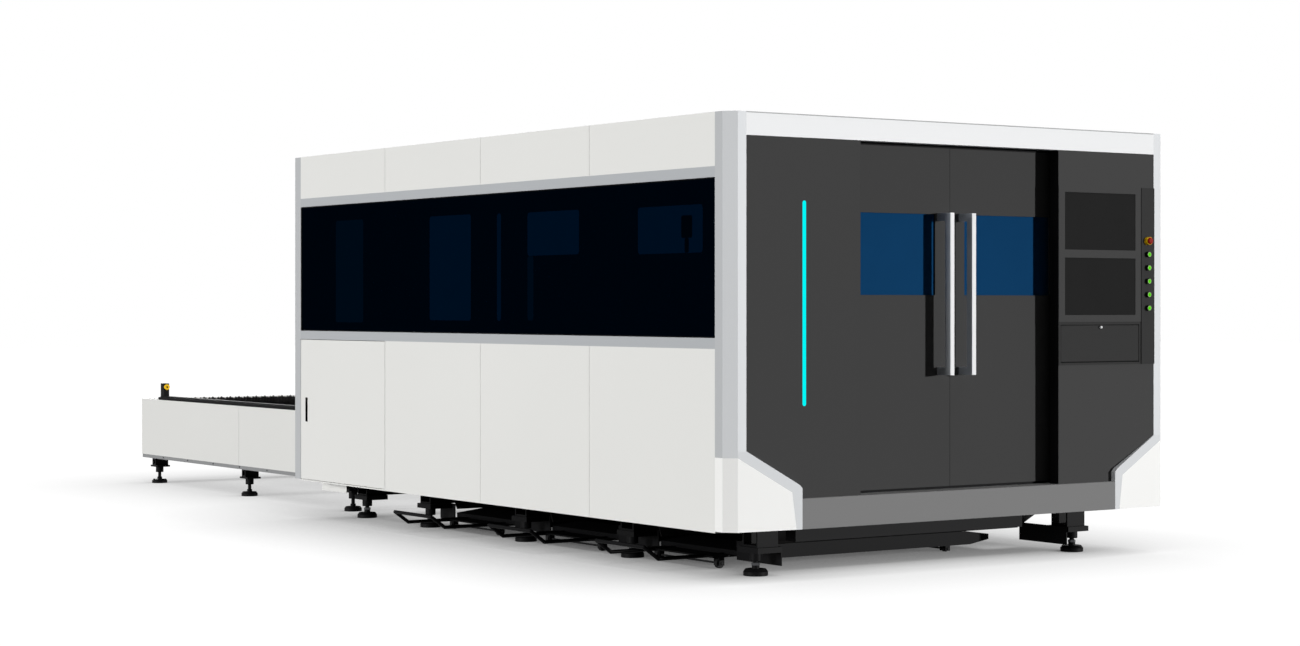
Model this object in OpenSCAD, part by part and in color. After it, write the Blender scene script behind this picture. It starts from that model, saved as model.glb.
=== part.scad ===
// Fiber laser cutting machine: a closed cabin over a bed with a gantry, and an exchange table behind it.
// Lengths are in mm. X runs across the machine, Y from the operator's front to the table's far end, Z up.
// While the pieces are drawn the front panels lie in y = 0. placed() then centres the machine.

/* [Cabin] */
// Width over the side panels
cabin_w = 2860; // [2760:10:3200]
// Length from the front panels to the rear wall
cabin_l = 4480; // [4440:10:5000]
// Height of the roof above the floor
cabin_top = 2200; // [2160:10:2500]
// Height of the lower edge of the side panels above the floor
cabin_bottom = 245; // [240:1:255]
// Depth of the folded panels
panel_d = 40; // [30:1:45]
// Thickness of the panel sheet
sheet = 2; // [1.5:0.5:3]
// Gap between two panels in a row
seam = 2; // [1:0.5:4]
// Number of panels along each side
side_count = 4; // [3:1:5]

/* [Posts and windows] */
// Bevel of the front corners
post_bevel = 51; // [35:1:60]
// Width of the front posts along the side, behind the bevel
post_side = 60; // [45:1:80]
// Width of the front posts along the front, beside the bevel
post_front = 49; // [40:1:70]
// Width of the rear posts
rear_post = 76; // [60:1:100]
// Wall of the posts
post_wall = 3; // [2:0.5:5]
// Distance from the roof down to the side windows
window_drop = 304; // [250:1:340]
// Height of the side windows
window_h = 750; // [500:1:850]
// Height of the bands over and under the side windows
band_h = 51; // [40:1:70]
// Thickness of the window panes
glass_t = 6; // [4:1:10]
// Depth of the side windows behind the panels' faces
glass_inset = 8; // [3:1:15]

/* [Front] */
// Height of the fascia over the front panels
fascia_h = 110; // [80:1:115]
// Depth of the fixed front panels
front_d = 60; // [50:1:75]
// Width of the fixed front panels beside the doorway
front_panel_w = 681.5; // [670:0.5:705]
// Height of the glowing strip
led_h = 970; // [600:10:1100]
// Width of the glowing strip
led_w = 21; // [15:1:35]
// Distance from the fascia down to the glowing strip
led_drop = 297; // [200:1:400]
// Distance from the cabin's side to the glowing strip
led_side = 440.5; // [420:0.5:520]
// Top of the sill above the floor
sill_top = 389; // [370:1:395]
// Distance from the cabin's side to the sill
sill_side = 408; // [390:1:440]
// How far the sill stands out in front of the panels
sill_proud = 28; // [15:1:40]
// Top of the bumper corners at the posts, as a share of the cabin's height
corner_share = 0.2682; // [0.24:0.0001:0.29]
// Distance from the cabin's side to the knee of the bumper corners
knee_u = 351; // [330:1:365]
// Height of that knee
knee_z = 421; // [400:1:440]
// Distance from the cabin's side to the foot of the bumper corners
foot_u = 375; // [366:1:385]
// Wall of the bumper corners
corner_t = 6; // [3:1:10]
// Width of the border strip around the bumper corners
trim_w = 50; // [40:1:60]
// Size of the cut corner where the border strip turns down to the sill
trim_cut = 18; // [10:1:25]

/* [Front doors] */
// How far each door reaches behind the fixed panel beside it
door_lap = 121.5; // [100:0.5:130]
// Thickness of the doors
door_d = 40; // [30:1:50]
// Depth of the doors behind the front panels' faces
door_inset = 94; // [88:1:110]
// Lower edge of the doors
door_low = 401; // [399:1:410]
// Gap between the doors and the level of the fascia's lower edge
door_head = 6; // [5:1:12]
// Gap between the closed doors
door_seam = 2; // [1:0.5:5]
// Distance from the doors' top down to their windows
pane_drop = 334; // [250:1:450]
// Height of the door windows
pane_h = 401; // [300:1:500]
// Width of the doors' frames beside the windows
stile = 95; // [85:1:100]
// Distance from the doors' top down to the handles
handle_drop = 329; // [280:1:400]
// Length of the door handles
handle_h = 801; // [600:1:900]
// Width of the handles' bar
handle_w = 25; // [20:1:32]
// Depth of the handles' bar, and height of its legs
handle_d = 38; // [30:1:45]
// Distance from the door seam to the middle of a handle
handle_x = 71; // [60:1:80]
// How far the handles stand out from the doors
handle_reach = 99; // [80:1:110]
// Running clearance of sliding pieces
slide_gap = 0.3; // [0.2:0.05:0.5]

/* [Console] */
// Width of the recessed button strip
strip_w = 94; // [70:1:100]
// How far the button strip stands out from the panel
strip_proud = 6; // [4:0.5:8]
// Height of the button strip
strip_h = 919; // [900:1:940]
// Distance from the fascia down to the console's instruments
console_drop = 178; // [120:1:190]
// Height of the monitor surround
surround_h = 698; // [680:1:710]
// Thickness of the monitor surround
surround_t = 3; // [2:0.5:5]
// Width of a monitor
monitor_w = 503; // [450:1:540]
// Height of a monitor
monitor_h = 294; // [260:1:305]
// Depth of a monitor
monitor_d = 45; // [30:1:60]
// Distances from the console's top down to the middles of the two monitors
monitor_drop = [516, 181];
// Width of the keyboard flap
flap_w = 553; // [480:1:570]
// Height of the keyboard flap
flap_h = 188; // [150:1:195]
// Distance from the console's top down to the keyboard flap
flap_drop = 716; // [710:1:722]
// Thickness of the keyboard flap
flap_t = 12; // [10:1:16]
// Gap around the keyboard flap
flap_gap = 3; // [2:0.5:5]
// Depth of the keyboard's niche
niche_d = 48; // [42:1:55]
// Diameter of the push buttons' collars
collar_dia = 30; // [26:1:36]
// How far the collars stand out from the strip
collar_out = 14; // [10:1:18]
// Diameter of the push buttons
button_dia = 18; // [14:1:20]
// Distance between two push buttons
button_pitch = 70; // [50:1:80]
// Distance from the console's top down to the lowest push button
button_drop = 627; // [610:1:660]
// Distance from the console's top down to the emergency stop
stop_drop = 276; // [210:1:290]
// Diameter of the emergency stop's mushroom
stop_dia = 36; // [32:1:46]
// Radial clearance of pins and stems in their bores
pin_gap = 0.05; // [0.02:0.01:0.1]

/* [Bed] */
// Distance between the gantry rails
rail_gauge = 2030; // [2000:2:2100]
// Width of the bed's long beams
beam_w = 140; // [120:1:160]
// Lower edge of the bed's long beams
beam_low = 250; // [246:1:252]
// Top of the bed's long beams
beam_top = 760; // [740:1:800]
// Wall of the bed's tubes
tube_wall = 10; // [6:1:14]
// Gap left for the welds between the tubes
weld = 0.2; // [0.1:0.05:0.5]
// Distances of the legs from the front
leg_y = [312, 1370, 2420, 3489, 4277];
// Height of the leg plates above the floor
leg_plate_z = 111; // [105:1:115]
// Thickness of the leg plates
leg_plate_t = 27; // [20:1:28]
// Size of the leg plates across the machine
leg_plate_w = 145; // [130:1:160]
// Size of the leg plates along the machine
leg_plate_l = 157; // [140:1:158]
// Diameter of the levelling feet's pads
pad_dia = 120; // [100:1:124]
// Height of those pads
pad_h = 33; // [25:1:40]
// How far the levelling feet sit outside the middle of the leg plates
foot_out = 27.5; // [0:0.5:35]
// Distance of the front cross beam from the front
front_beam_y = 417; // [405:1:430]
// Width of the lower part of the front cross beam
front_beam_w = 1498; // [1300:2:1600]

/* [Scrap trolleys] */
// Distance of the first trolley's middle from the front
trolley_y = 940; // [930:1:945]
// Distance between two trolleys
trolley_pitch = 1050; // [1046:1:1055]
// Width of the trays
tray_w = 670; // [600:1:675]
// Left end of the trays, measured from the machine's middle
tray_left = -930; // [-935:1:-900]
// Right end of the trays, measured from the machine's middle
tray_right = 720; // [650:1:780]
// Height of the tray's floor above the ground
tray_low = 38; // [37:1:42]
// Top of the trays
tray_top = 108; // [98:1:110]
// Wall of the trays
tray_wall = 3; // [2:0.5:5]
// Distance between the arms of a loop handle
arm_span = 420; // [360:1:440]
// Diameter of the handle's bar
bar_dia = 20; // [16:1:24]
// Height of the grip above the ground
grip_z = 122; // [110:1:130]
// Diameter of the outer wheels
outer_wheel_dia = 50; // [44:1:54]
// Diameter of the inner wheels
inner_wheel_dia = 32; // [26:1:34]
// Diameter of the wheel axles
axle_dia = 10; // [8:1:12]

/* [Gantry] */
// Place of the parked gantry, from the front
gantry_y = 1000; // [960:10:1400]
// Depth of the gantry beam
gantry_d = 220; // [180:1:260]
// Height of the gantry beam
gantry_h = 200; // [180:1:240]
// Height of the linear rails
rail_h = 28; // [24:1:32]
// Width of the linear rails
rail_w = 30; // [26:1:36]
// Place of the parked carriage, from the machine's middle
carriage_x = -650; // [-700:10:0]
// Width of the carriage
carriage_w = 300; // [240:2:340]
// Height of the parked nozzle's tip above the floor
nozzle_z = 845; // [842:1:860]
// Side of the racks' square bars
rack_w = 25; // [20:1:28]
// Diameter of the motors that drive the gantry and the carriage
motor_dia = 80; // [60:1:90]
// Length of those motors
motor_l = 160; // [120:1:200]

/* [Exchange table] */
// Length of the table behind the cabin
table_l = 3525.5; // [3400:0.5:3800]
// Width over the table's side panels
table_w = 1880; // [1860:2:1900]
// Lower edge of the table's frame
table_low = 181; // [175:1:185]
// Lower edge of the table's side panels
table_panel_low = 206; // [200:1:210]
// Top of the table's side panels
table_panel_top = 613; // [605:1:615]
// Depth of the table's side panels
table_panel_d = 30; // [25:1:32]
// Top of the black rail covers
cover_top = 641; // [636:1:650]
// Places of the table's legs, as shares of its length
table_leg_share = [0.08, 0.51, 0.9434];
// Height of the upper pallet's rail
upper_tier = 500; // [490:1:505]
// Drop from the upper to the lower tier
tier_drop = 260; // [255:1:262]
// Diameter of the pallet drive's gearmotor
drive_dia = 110; // [90:1:120]
// Length of that gearmotor
drive_l = 260; // [200:5:300]
// Diameter of the sprockets
sprocket_dia = 60; // [50:1:64]

/* [Pallets] */
// How much shorter the pallets are than the table
pallet_margin = 425.5; // [405:0.5:530]
// Width of the pallets
pallet_w = 1736; // [1700:2:1740]
// Height of the pallets' frame
pallet_h = 90; // [86:1:95]
// Height of the shoes under the pallets
shoe_h = 20; // [16:1:24]
// Front end of the inner pallet, from the front
pallet_in = 740; // [700:10:800]
// Height of the slats
slat_h = 80; // [76:1:84]
// Thickness of the slats
slat_t = 4; // [3:1:6]
// Number of slats on a pallet
slat_count = 31; // [20:1:40]
// Pitch of the slats' teeth
tooth = 70; // [50:1:90]
// Depth of the slats' teeth
tooth_h = 35; // [20:1:45]

/* [Hidden] */
$fn = 48;
dark = [0.13, 0.13, 0.14];
white = [0.88, 0.88, 0.87];
grey = [0.7, 0.71, 0.73];
panel_dark = [0.25, 0.25, 0.26];
steel = [0.55, 0.56, 0.58];

fit_gap = 0.5;
table_start = cabin_l + fit_gap;
wall_in = cabin_l - panel_d;
table_end = table_start + table_l;
mid_y = (table_end - sill_proud) / 2;
half_w = cabin_w / 2;
post_x = post_bevel + post_front;
side_start = post_bevel + post_side;
side_end = cabin_l - rear_post;
panel_pitch = (side_end - side_start) / side_count;
window_top = cabin_top - window_drop;
window_low = window_top - window_h;
lower_top = window_low - band_h;
upper_low = window_top + band_h;
fascia_low = cabin_top - fascia_h;
front_half = half_w - post_x;
doorway_half = front_half - front_panel_w;
sill_half = half_w - sill_side;
corner_top = cabin_top * corner_share;
led_x = half_w - led_side;
led_low = fascia_low - led_drop - led_h;

corner_slope = (corner_top - knee_z) / (knee_u - post_bevel);
trim_rise = trim_w * sqrt(1 + corner_slope * corner_slope);
corner_flare = sill_proud / (sill_side - post_bevel);
function corner_line(u) = corner_top - (u - post_bevel) * corner_slope;
function trim_line(u) = corner_line(u) + trim_rise;
trim_edge = [[sill_side, trim_line(sill_side) - trim_cut * 0.4],
             [sill_side - trim_cut, trim_line(sill_side - trim_cut)], [post_x, trim_line(post_x)]];

door_top = fascia_low - door_head;
door_w = doorway_half + door_lap - door_seam / 2;
pane_low = door_top - pane_drop - pane_h;
handle_low = door_top - handle_drop - handle_h;
track_y = door_inset + door_d / 2;
track_w = 20;
handle_y = door_inset - handle_reach;

console_top = fascia_low - console_drop;
strip_low = console_top - strip_h;
surround_low = console_top - surround_h;
monitor_z = [for (drop = monitor_drop) console_top - drop];
flap_low = console_top - flap_drop - flap_h;
button_low = console_top - button_drop;
stop_z = console_top - stop_drop;
strip_right = front_half;
strip_left = strip_right - strip_w;
strip_face = -strip_proud;
button_x = (strip_left + strip_right) / 2 - 3;
collar_front = strip_face - collar_out;
barrel_dia = collar_dia - 6;
barrel_end = 24;
stop_plate = 4;
surround_mid = (doorway_half + strip_left) / 2;
flap_left = surround_mid - flap_w / 2;
flap_axis = [flap_t / 2, flap_low + flap_t / 2];
hinge_dia = 6;
button_z = [for (i = [0:4]) button_low + i * button_pitch];
stem_dia = 10;

rail_x = rail_gauge / 2;
beam_out = rail_x + beam_w / 2;
beam_in = rail_x - beam_w / 2;
leg_stub_y = 120;
leg_stub_x = 124;
leg_x = rail_x;
leg_plate_top = leg_plate_z + leg_plate_t;
base_tube = 40;
base_h = 60;
base_lip = 8;
base_out = half_w - panel_d - 5;
base_in = base_out - base_tube;

service_gap = 3;
service_start = side_end - panel_pitch - seam / 2 + service_gap;
service_pin = 8;
door_hinge = [-half_w + 7, service_start + 8];
pull_h = 146;
pull_low = (cabin_bottom + lower_top - pull_h) / 2 - 1;
pull_w = 30;
pull_y = side_end - 77 - pull_w / 2;
pull_d = 24;

outer_axle_x = tray_left - 62;
inner_axle_x = tray_right - 240;
bracket_z = outer_wheel_dia + 6;
wheel_track = tray_w / 2 - 75;
wheel_w = 24;
ear_t = 6;

pallet_l = table_l - pallet_margin;
pallet_half = pallet_w / 2;
pallet_member = 68;
pallet_inner = pallet_half - pallet_member;
pallet_floor = shoe_h + slide_gap;
slat_foot = pallet_h - 60;
slat_len = 2 * pallet_inner - 1;
ledge_in = pallet_half - 38;
ledge_t = 20;
lower_tier = upper_tier - tier_drop;
cross_top = lower_tier - ledge_t;
table_half = table_w / 2;
table_leg_y = [for (share = table_leg_share) share * table_l];
upright_out = table_half - table_panel_d - 2;
upright_t = 30;
upright_l = 60;
table_top_h = 52;
foot_plate = [100, 120, 12];
foot_stub = [56, 50];
chain_w = 14;
chain_h = 10;
drive_y = table_end - 120;
drive_z = lower_tier + 180;
idler_y = table_start + 60;
pallet_out = table_start + 200;
pallet_end = 60;
barrier = [40, 60, 92];
barrier_x = table_half - 14 - barrier[0] / 2;
barrier_y = pallet_out + pallet_l - 146;
barrier_lens_z = cover_top + 66;
cover_end = barrier_y + barrier[1] + 10;
lens_dia = 14;
ring_dia = 40;
ring_t = 12;

bearing_l = 80;
bearing_w = 80;
gantry_low = beam_top + 90;
gantry_top = gantry_low + gantry_h;
x_rail_z = [gantry_low + 45, gantry_top - 45];
x_rail_h = 22;
gantry_front = gantry_y - gantry_d / 2;
carriage_back = gantry_front - x_rail_h - slide_gap;
carriage_t = 25;
carriage_over = 60;
carriage_under = 60;
z_rail_w = 20;
z_rail_h = 15;
slide_t = 18;
head_back = carriage_back - carriage_t - z_rail_h - slide_gap;
head_y = head_back - 75;
rack_y = gantry_front + 5;
pinion_dia = 59;
end_plate = 12;
drive_pinion_x = beam_out + rack_w + pinion_dia / 2 + fit_gap;

// Shared helpers

// Moves a piece from the drawing frame to the part's own origin
module placed() {
    translate([0, -mid_y, 0]) children();
}

// A piece and its mirror image on the machine's other side
module both_sides() {
    children();
    mirror([1, 0, 0]) children();
}

// A box from its lowest to its highest corner
module block(low, high) {
    translate(low) cube(high - low);
}

// A sheet folded to an open tray, with its face on the left and its flanges to the right
module side_pan(y0, y1, z0, z1, depth) {
    difference() {
        block([-half_w, y0, z0], [-half_w + depth, y1, z1]);
        block([-half_w + sheet, y0 + sheet, z0 + sheet], [-half_w + depth + 1, y1 - sheet, z1 - sheet]);
    }
}

// The same, with its face to the front
module front_pan(x0, x1, z0, z1, y0, depth) {
    difference() {
        block([x0, y0, z0], [x1, y0 + depth, z1]);
        block([x0 + sheet, y0 + sheet, z0 + sheet], [x1 - sheet, y0 + depth + 1, z1 - sheet]);
    }
}

// The same, with its face to the rear
module rear_pan(x0, x1, z0, z1) {
    difference() {
        block([x0, wall_in, z0], [x1, cabin_l, z1]);
        block([x0 + sheet, wall_in - 1, z0 + sheet], [x1 - sheet, cabin_l - sheet, z1 - sheet]);
    }
}

// Draws a front-view outline in X and Z as a plate from y0 to y1
module front_plate(y0, y1) {
    translate([0, y1, 0]) rotate([90, 0, 0]) linear_extrude(y1 - y0) children();
}

// A turned piece whose axis runs along Y at the given X and Z
module turned_y(x, y, z) {
    translate([x, y, z]) rotate([-90, 0, 0]) children();
}

// A square tube along X, open at both ends
module tube_x(x0, x1, y, width, z0, z1) {
    difference() {
        block([x0, y - width / 2, z0], [x1, y + width / 2, z1]);
        block([x0 - 1, y - width / 2 + tube_wall, z0 + tube_wall],
              [x1 + 1, y + width / 2 - tube_wall, z1 - tube_wall]);
    }
}

// Bed and base

module long_beam() {
    difference() {
        block([-beam_out, leg_y[0] - 87, beam_low], [-beam_in, side_end - 4, beam_top]);
        block([-beam_out + tube_wall, leg_y[0] - 88, beam_low + tube_wall],
              [-beam_in - tube_wall, side_end - 3, beam_top - tube_wall]);
    }
}

module leg(y) {
    block([-leg_x - leg_plate_w / 2, y - leg_plate_l / 2, leg_plate_z],
          [-leg_x + leg_plate_w / 2, y + leg_plate_l / 2, leg_plate_top]);
    tube_x(-leg_x - leg_stub_x / 2, -leg_x + leg_stub_x / 2, y, leg_stub_y, leg_plate_top, beam_low - weld);
}

module front_cross_beam() {
    low = leg_plate_top + 2;
    step = low + 65;
    half = front_beam_w / 2;
    end = beam_in - weld;
    front_plate(front_beam_y - 40, front_beam_y + 40)
        polygon([[-half, low], [half, low], [half, step], [end, step], [end, beam_low + 40],
                 [-end, beam_low + 40], [-end, step], [-half, step]]);
}

// Guard plates on the legs, which close the side of the bed between the trays
module bay_guards() {
    t = 6;
    gap = 4;
    last = len(leg_y) - 2;
    leg_face = leg_x - leg_plate_w / 2 - weld;
    for (i = [0:last]) {
        tray_y = trolley_y + i * trolley_pitch;
        start = i == 0 ? leg_y[0] - 70 : tray_y - trolley_pitch + tray_w / 2 + gap;
        end = i == last ? leg_y[last] + 60 : tray_y - tray_w / 2 - gap;
        block([-leg_face, start, tray_low + 7], [-leg_face + t, end, leg_plate_top]);
    }
}

module bed_frame() color(dark) placed() {
    both_sides() {
        long_beam();
        bay_guards();
        for (y = leg_y) {
            leg(y);
            tube_x(-base_in + weld, -beam_out - weld, y, 80, beam_low + 5, beam_low + 55);
        }
    }
    front_cross_beam();
    for (i = [1:len(leg_y) - 1])
        tube_x(-leg_x + leg_stub_x / 2 + weld, leg_x - leg_stub_x / 2 - weld, leg_y[i], leg_stub_y,
               leg_plate_top + weld, cross_top);
}

// A levelling foot: rubber-edged pad, collar, screw and nut block, up to the plate it carries
module levelling_foot(pad, height, top) {
    bevel = pad / 12;
    nut = pad / 2;
    rotate_extrude()
        polygon([[0, 0], [pad / 2 - 2, 0], [pad / 2, 2], [pad / 2, height - bevel - 3],
                 [pad / 2 - bevel, height], [pad * 0.155, height], [pad * 0.155, height + 16],
                 [pad * 0.105, height + 16], [pad * 0.105, top - 40], [nut / 2 - 2, top - 40],
                 [nut / 2, top - 38], [nut / 2, top], [0, top]]);
}

module levelling_feet() color(dark) placed() {
    both_sides() for (y = leg_y)
        translate([-leg_x - foot_out, y, 0]) levelling_foot(pad_dia, pad_h, leg_plate_z);
}

// Sloping plates that lead the scrap from the bed down to the trays
module chute_plate(y_top, y_foot) {
    top = cross_top - 7;
    foot = tray_top + slide_gap;
    t = 4;
    side = y_foot > y_top ? t : -t;
    reach = beam_in - 10;
    translate([-reach, 0, 0]) rotate([90, 0, 90]) linear_extrude(2 * reach)
        polygon([[y_top, top], [y_top, top - 3 * t], [y_foot - side, foot], [y_foot, foot]]);
}

module scrap_chutes() color(steel) placed() {
    for (i = [0:2]) {
        mid = trolley_y + i * trolley_pitch;
        front_face = i == 0 ? front_beam_y + 40 : leg_y[i] + leg_stub_y / 2;
        chute_plate(front_face + weld, mid - tray_w / 2 + 12);
        chute_plate(leg_y[i + 1] - leg_stub_y / 2 - weld, mid + tray_w / 2 - 12);
    }
}

// Section of a linear guide rail with its waisted sides, standing on z = 0
module rail_section(w, h) {
    waist = w * 0.36;
    half = [[w / 2, 0], [w / 2, h * 0.36], [waist, h * 0.52], [waist, h * 0.7], [w / 2, h * 0.84], [w / 2, h]];
    polygon(concat(half, [for (i = [len(half) - 1:-1:0]) [-half[i][0], half[i][1]]]));
}

// Guide rails on top of the long beams, and a rack along the outside of each
module gantry_rails() color(steel) placed() {
    start = leg_y[0] - 52;
    end = side_end - 24;
    both_sides() {
        translate([-rail_x, end, beam_top]) rotate([90, 0, 0])
            linear_extrude(end - start) rail_section(rail_w, rail_h);
        block([-beam_out - rack_w, start, beam_top - rack_w], [-beam_out, end, beam_top]);
    }
}

module base_rail() {
    block([-base_out, side_start, cabin_bottom], [-base_in, side_end, cabin_bottom + base_h]);
    block([-half_w + 1, side_start, cabin_bottom - base_lip], [-base_in, side_end, cabin_bottom]);
}

module base_rails() color(dark) placed() {
    difference() {
        base_rail();
        translate([door_hinge[0], door_hinge[1], cabin_bottom - base_lip - 1])
            cylinder(d = service_pin + 2 * pin_gap, h = base_lip + 2);
    }
    mirror([1, 0, 0]) base_rail();
}

// Cabin

// Plan of a front post: a folded strip round the bevelled corner, with a return at each end
module front_post_plan() {
    t = post_wall;
    k = t * tan(22.5);
    polygon([[-half_w, side_start], [-half_w, post_bevel], [-half_w + post_bevel, 0], [-half_w + post_x, 0],
             [-half_w + post_x, panel_d], [-half_w + post_x - t, panel_d], [-half_w + post_x - t, t],
             [-half_w + post_bevel + k, t], [-half_w + t, post_bevel + k], [-half_w + t, side_start - t],
             [-half_w + panel_d, side_start - t], [-half_w + panel_d, side_start]]);
}

// The border strip that runs on from a post, along the bumper corner and down to the sill
module border_strip() {
    intersection() {
        translate([-half_w, 0, 0]) front_plate(-sill_proud - 1, sheet)
            polygon(concat([[post_bevel, corner_top], [knee_u, knee_z], [foot_u, cabin_bottom],
                            [sill_side, cabin_bottom]], trim_edge, [[post_bevel, trim_line(post_x)]]));
        translate([-half_w, 0, 0]) linear_extrude(cabin_top)
            polygon([[post_bevel, 0], [sill_side, -sill_proud], [sill_side, sheet], [post_bevel, sheet]]);
    }
}

module rear_post_plan() {
    t = post_wall;
    polygon([[-half_w, side_end], [-half_w, cabin_l], [-half_w + rear_post, cabin_l],
             [-half_w + rear_post, cabin_l - panel_d], [-half_w + rear_post - t, cabin_l - panel_d],
             [-half_w + rear_post - t, cabin_l - t], [-half_w + t, cabin_l - t], [-half_w + t, side_end + t],
             [-half_w + panel_d, side_end + t], [-half_w + panel_d, side_end]]);
}

module corner_posts() color(grey) placed() {
    both_sides() {
        translate([0, 0, corner_top]) linear_extrude(cabin_top - corner_top) front_post_plan();
        border_strip();
        translate([0, 0, cabin_bottom]) linear_extrude(cabin_top - cabin_bottom) rear_post_plan();
    }
}

module side_panel(i, z0, z1) {
    start = side_start + i * panel_pitch + (i == 0 ? 0 : seam / 2);
    end = side_start + (i + 1) * panel_pitch - (i == side_count - 1 ? 0 : seam / 2);
    side_pan(start, end, z0, z1, panel_d);
}

module side_panels() color(white) placed() {
    for (i = [0:side_count - 2]) side_panel(i, cabin_bottom, lower_top);
    mirror([1, 0, 0]) for (i = [0:side_count - 1]) side_panel(i, cabin_bottom, lower_top);
    both_sides() for (i = [0:side_count - 1]) side_panel(i, upper_low, cabin_top);
}

module window_bands() color(grey) placed() {
    both_sides() side_pan(side_start, side_end, window_top, upper_low, panel_d);
    mirror([1, 0, 0]) side_pan(side_start, side_end, lower_top, window_low, panel_d);
    difference() {
        side_pan(side_start, side_end, lower_top, window_low, panel_d);
        translate([door_hinge[0], door_hinge[1], lower_top - 1])
            cylinder(d = service_pin + 2 * pin_gap, h = sheet + 2);
    }
}

module side_windows() color([0.02, 0.03, 0.05, 0.9]) placed() {
    both_sides() block([-half_w + glass_inset, side_start, window_low],
                       [-half_w + glass_inset + glass_t, side_end, window_top]);
}

module roof_panels() color(white) placed() {
    start = front_d + fit_gap;
    pitch = (wall_in - fit_gap - start) / side_count;
    reach = half_w - panel_d - fit_gap;
    for (i = [0:side_count - 1]) {
        y0 = start + i * pitch + (i == 0 ? 0 : seam / 2);
        y1 = start + (i + 1) * pitch - (i == side_count - 1 ? 0 : seam / 2);
        difference() {
            block([-reach, y0, cabin_top - panel_d], [reach, y1, cabin_top]);
            block([-reach + sheet, y0 + sheet, cabin_top - panel_d - 1],
                  [reach - sheet, y1 - sheet, cabin_top - sheet]);
        }
    }
}

// The wall round the opening that the pallets pass through, with an apron that runs forward under each side
module rear_wall() color(white) placed() {
    opening = table_half - 10;
    opening_top = gantry_low + 50;
    edge = half_w - rear_post;
    apron_in = 108;
    apron_h = 80;
    apron_l = 320;
    apron_low = cabin_bottom - apron_h;
    both_sides() {
        rear_pan(-edge, -opening, cabin_bottom, cabin_top);
        rear_pan(-edge + apron_in, -opening, apron_low, cabin_bottom - fit_gap);
        block([-edge + apron_in, cabin_l - apron_l, apron_low],
              [-edge + apron_in + sheet, cabin_l - sheet, cabin_bottom - fit_gap]);
    }
    rear_pan(-opening + fit_gap, opening - fit_gap, opening_top, cabin_top);
}

// Front

module front_fascia() color(white) placed()
    front_pan(-front_half, front_half, fascia_low, cabin_top, 0, front_d);

// Front-view outline of the left panel, which the console's panel mirrors
module front_panel_outline() {
    translate([-half_w, 0])
        polygon(concat([[post_x, fascia_low], [half_w - doorway_half, fascia_low],
                        [half_w - doorway_half, sill_top], [sill_side, sill_top]], trim_edge));
}

// Skin of a front panel with the deep fold beside the doorway and folds at its top and foot
module front_panel_shell() {
    front_plate(0, sheet) front_panel_outline();
    block([-doorway_half - sheet, 0, sill_top], [-doorway_half, front_d, fascia_low]);
    block([-front_half, 0, fascia_low - sheet], [-doorway_half, front_d, fascia_low]);
    block([-sill_half, 0, sill_top], [-doorway_half, front_d, sill_top + sheet]);
}

// A slot with round ends, in the front view
module led_outline(grow) {
    r = led_w / 2 + grow;
    for (z = [led_low + led_w / 2, led_low + led_h - led_w / 2]) translate([-led_x, z]) circle(r);
    translate([-led_x - r, led_low + led_w / 2]) square([2 * r, led_h - led_w]);
}

module front_left_panel() color(panel_dark) placed() {
    difference() {
        front_panel_shell();
        front_plate(-1, sheet + 1) led_outline(slide_gap);
    }
}

module led_strip() color([0.0, 0.95, 0.95]) placed() {
    front_plate(0, 8) led_outline(0);
    front_plate(sheet, 8) led_outline(6);
}

// Bores for the barrels of the buttons and of the emergency stop, from y0 through one sheet
module button_bores(y0) {
    for (z = concat(button_z, [stop_z]))
        turned_y(button_x, y0 - 1, z) cylinder(d = barrel_dia + 2 * slide_gap, h = sheet + 2);
}

// The buttons' strip: a shallow folded cover on the panel's face
module button_strip() color([0.22, 0.22, 0.23]) placed() {
    difference() {
        front_pan(strip_left, strip_right, strip_low, console_top, strip_face, strip_proud);
        button_bores(strip_face);
    }
}

module niche_walls() {
    low = [flap_left - flap_gap, 0, flap_low - flap_gap];
    high = [flap_left + flap_w + flap_gap, niche_d, flap_low + flap_h + flap_gap];
    difference() {
        block(low - [sheet, 0, sheet], high + [sheet, sheet, sheet]);
        block(low - [0, 1, 0], high);
    }
}

// Everything that is cut out of the console: niche, monitor windows, bores and pivots
module console_cuts() {
    block([flap_left - flap_gap, -1, flap_low - flap_gap],
          [flap_left + flap_w + flap_gap, niche_d, flap_low + flap_h + flap_gap]);
    for (z = monitor_z)
        block([surround_mid - monitor_w / 2, -1, z - monitor_h / 2],
              [surround_mid + monitor_w / 2, 9, z + monitor_h / 2]);
    button_bores(0);
    translate([flap_left - 15, flap_axis[0], flap_axis[1]]) rotate([0, 90, 0])
        cylinder(d = hinge_dia + 2 * pin_gap, h = flap_w + 30);
}

module console_panel() color(panel_dark) placed() {
    difference() {
        union() {
            mirror([1, 0, 0]) front_panel_shell();
            niche_walls();
        }
        console_cuts();
    }
}

module monitor_surround() color([0.28, 0.28, 0.29]) placed() {
    difference() {
        block([doorway_half, -surround_t, surround_low], [strip_left, 0, console_top]);
        for (z = monitor_z)
            block([surround_mid - monitor_w / 2, -surround_t - 1, z - monitor_h / 2],
                  [surround_mid + monitor_w / 2, 1, z + monitor_h / 2]);
    }
}

module monitors() color([0.14, 0.14, 0.15]) placed() {
    for (z = monitor_z)
        block([surround_mid - monitor_w / 2 + slide_gap, -1, z - monitor_h / 2 + slide_gap],
              [surround_mid + monitor_w / 2 - slide_gap, monitor_d, z + monitor_h / 2 - slide_gap]);
}

// A fixed collar on the strip with its barrel through the panel, bored for the stem
module collar(dia, front, bore) {
    rotate_extrude()
        polygon([[bore / 2, front], [dia / 2 - 2, front], [dia / 2, front + 2], [dia / 2, strip_face],
                 [barrel_dia / 2, strip_face], [barrel_dia / 2, barrel_end], [bore / 2, barrel_end]]);
}

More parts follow.
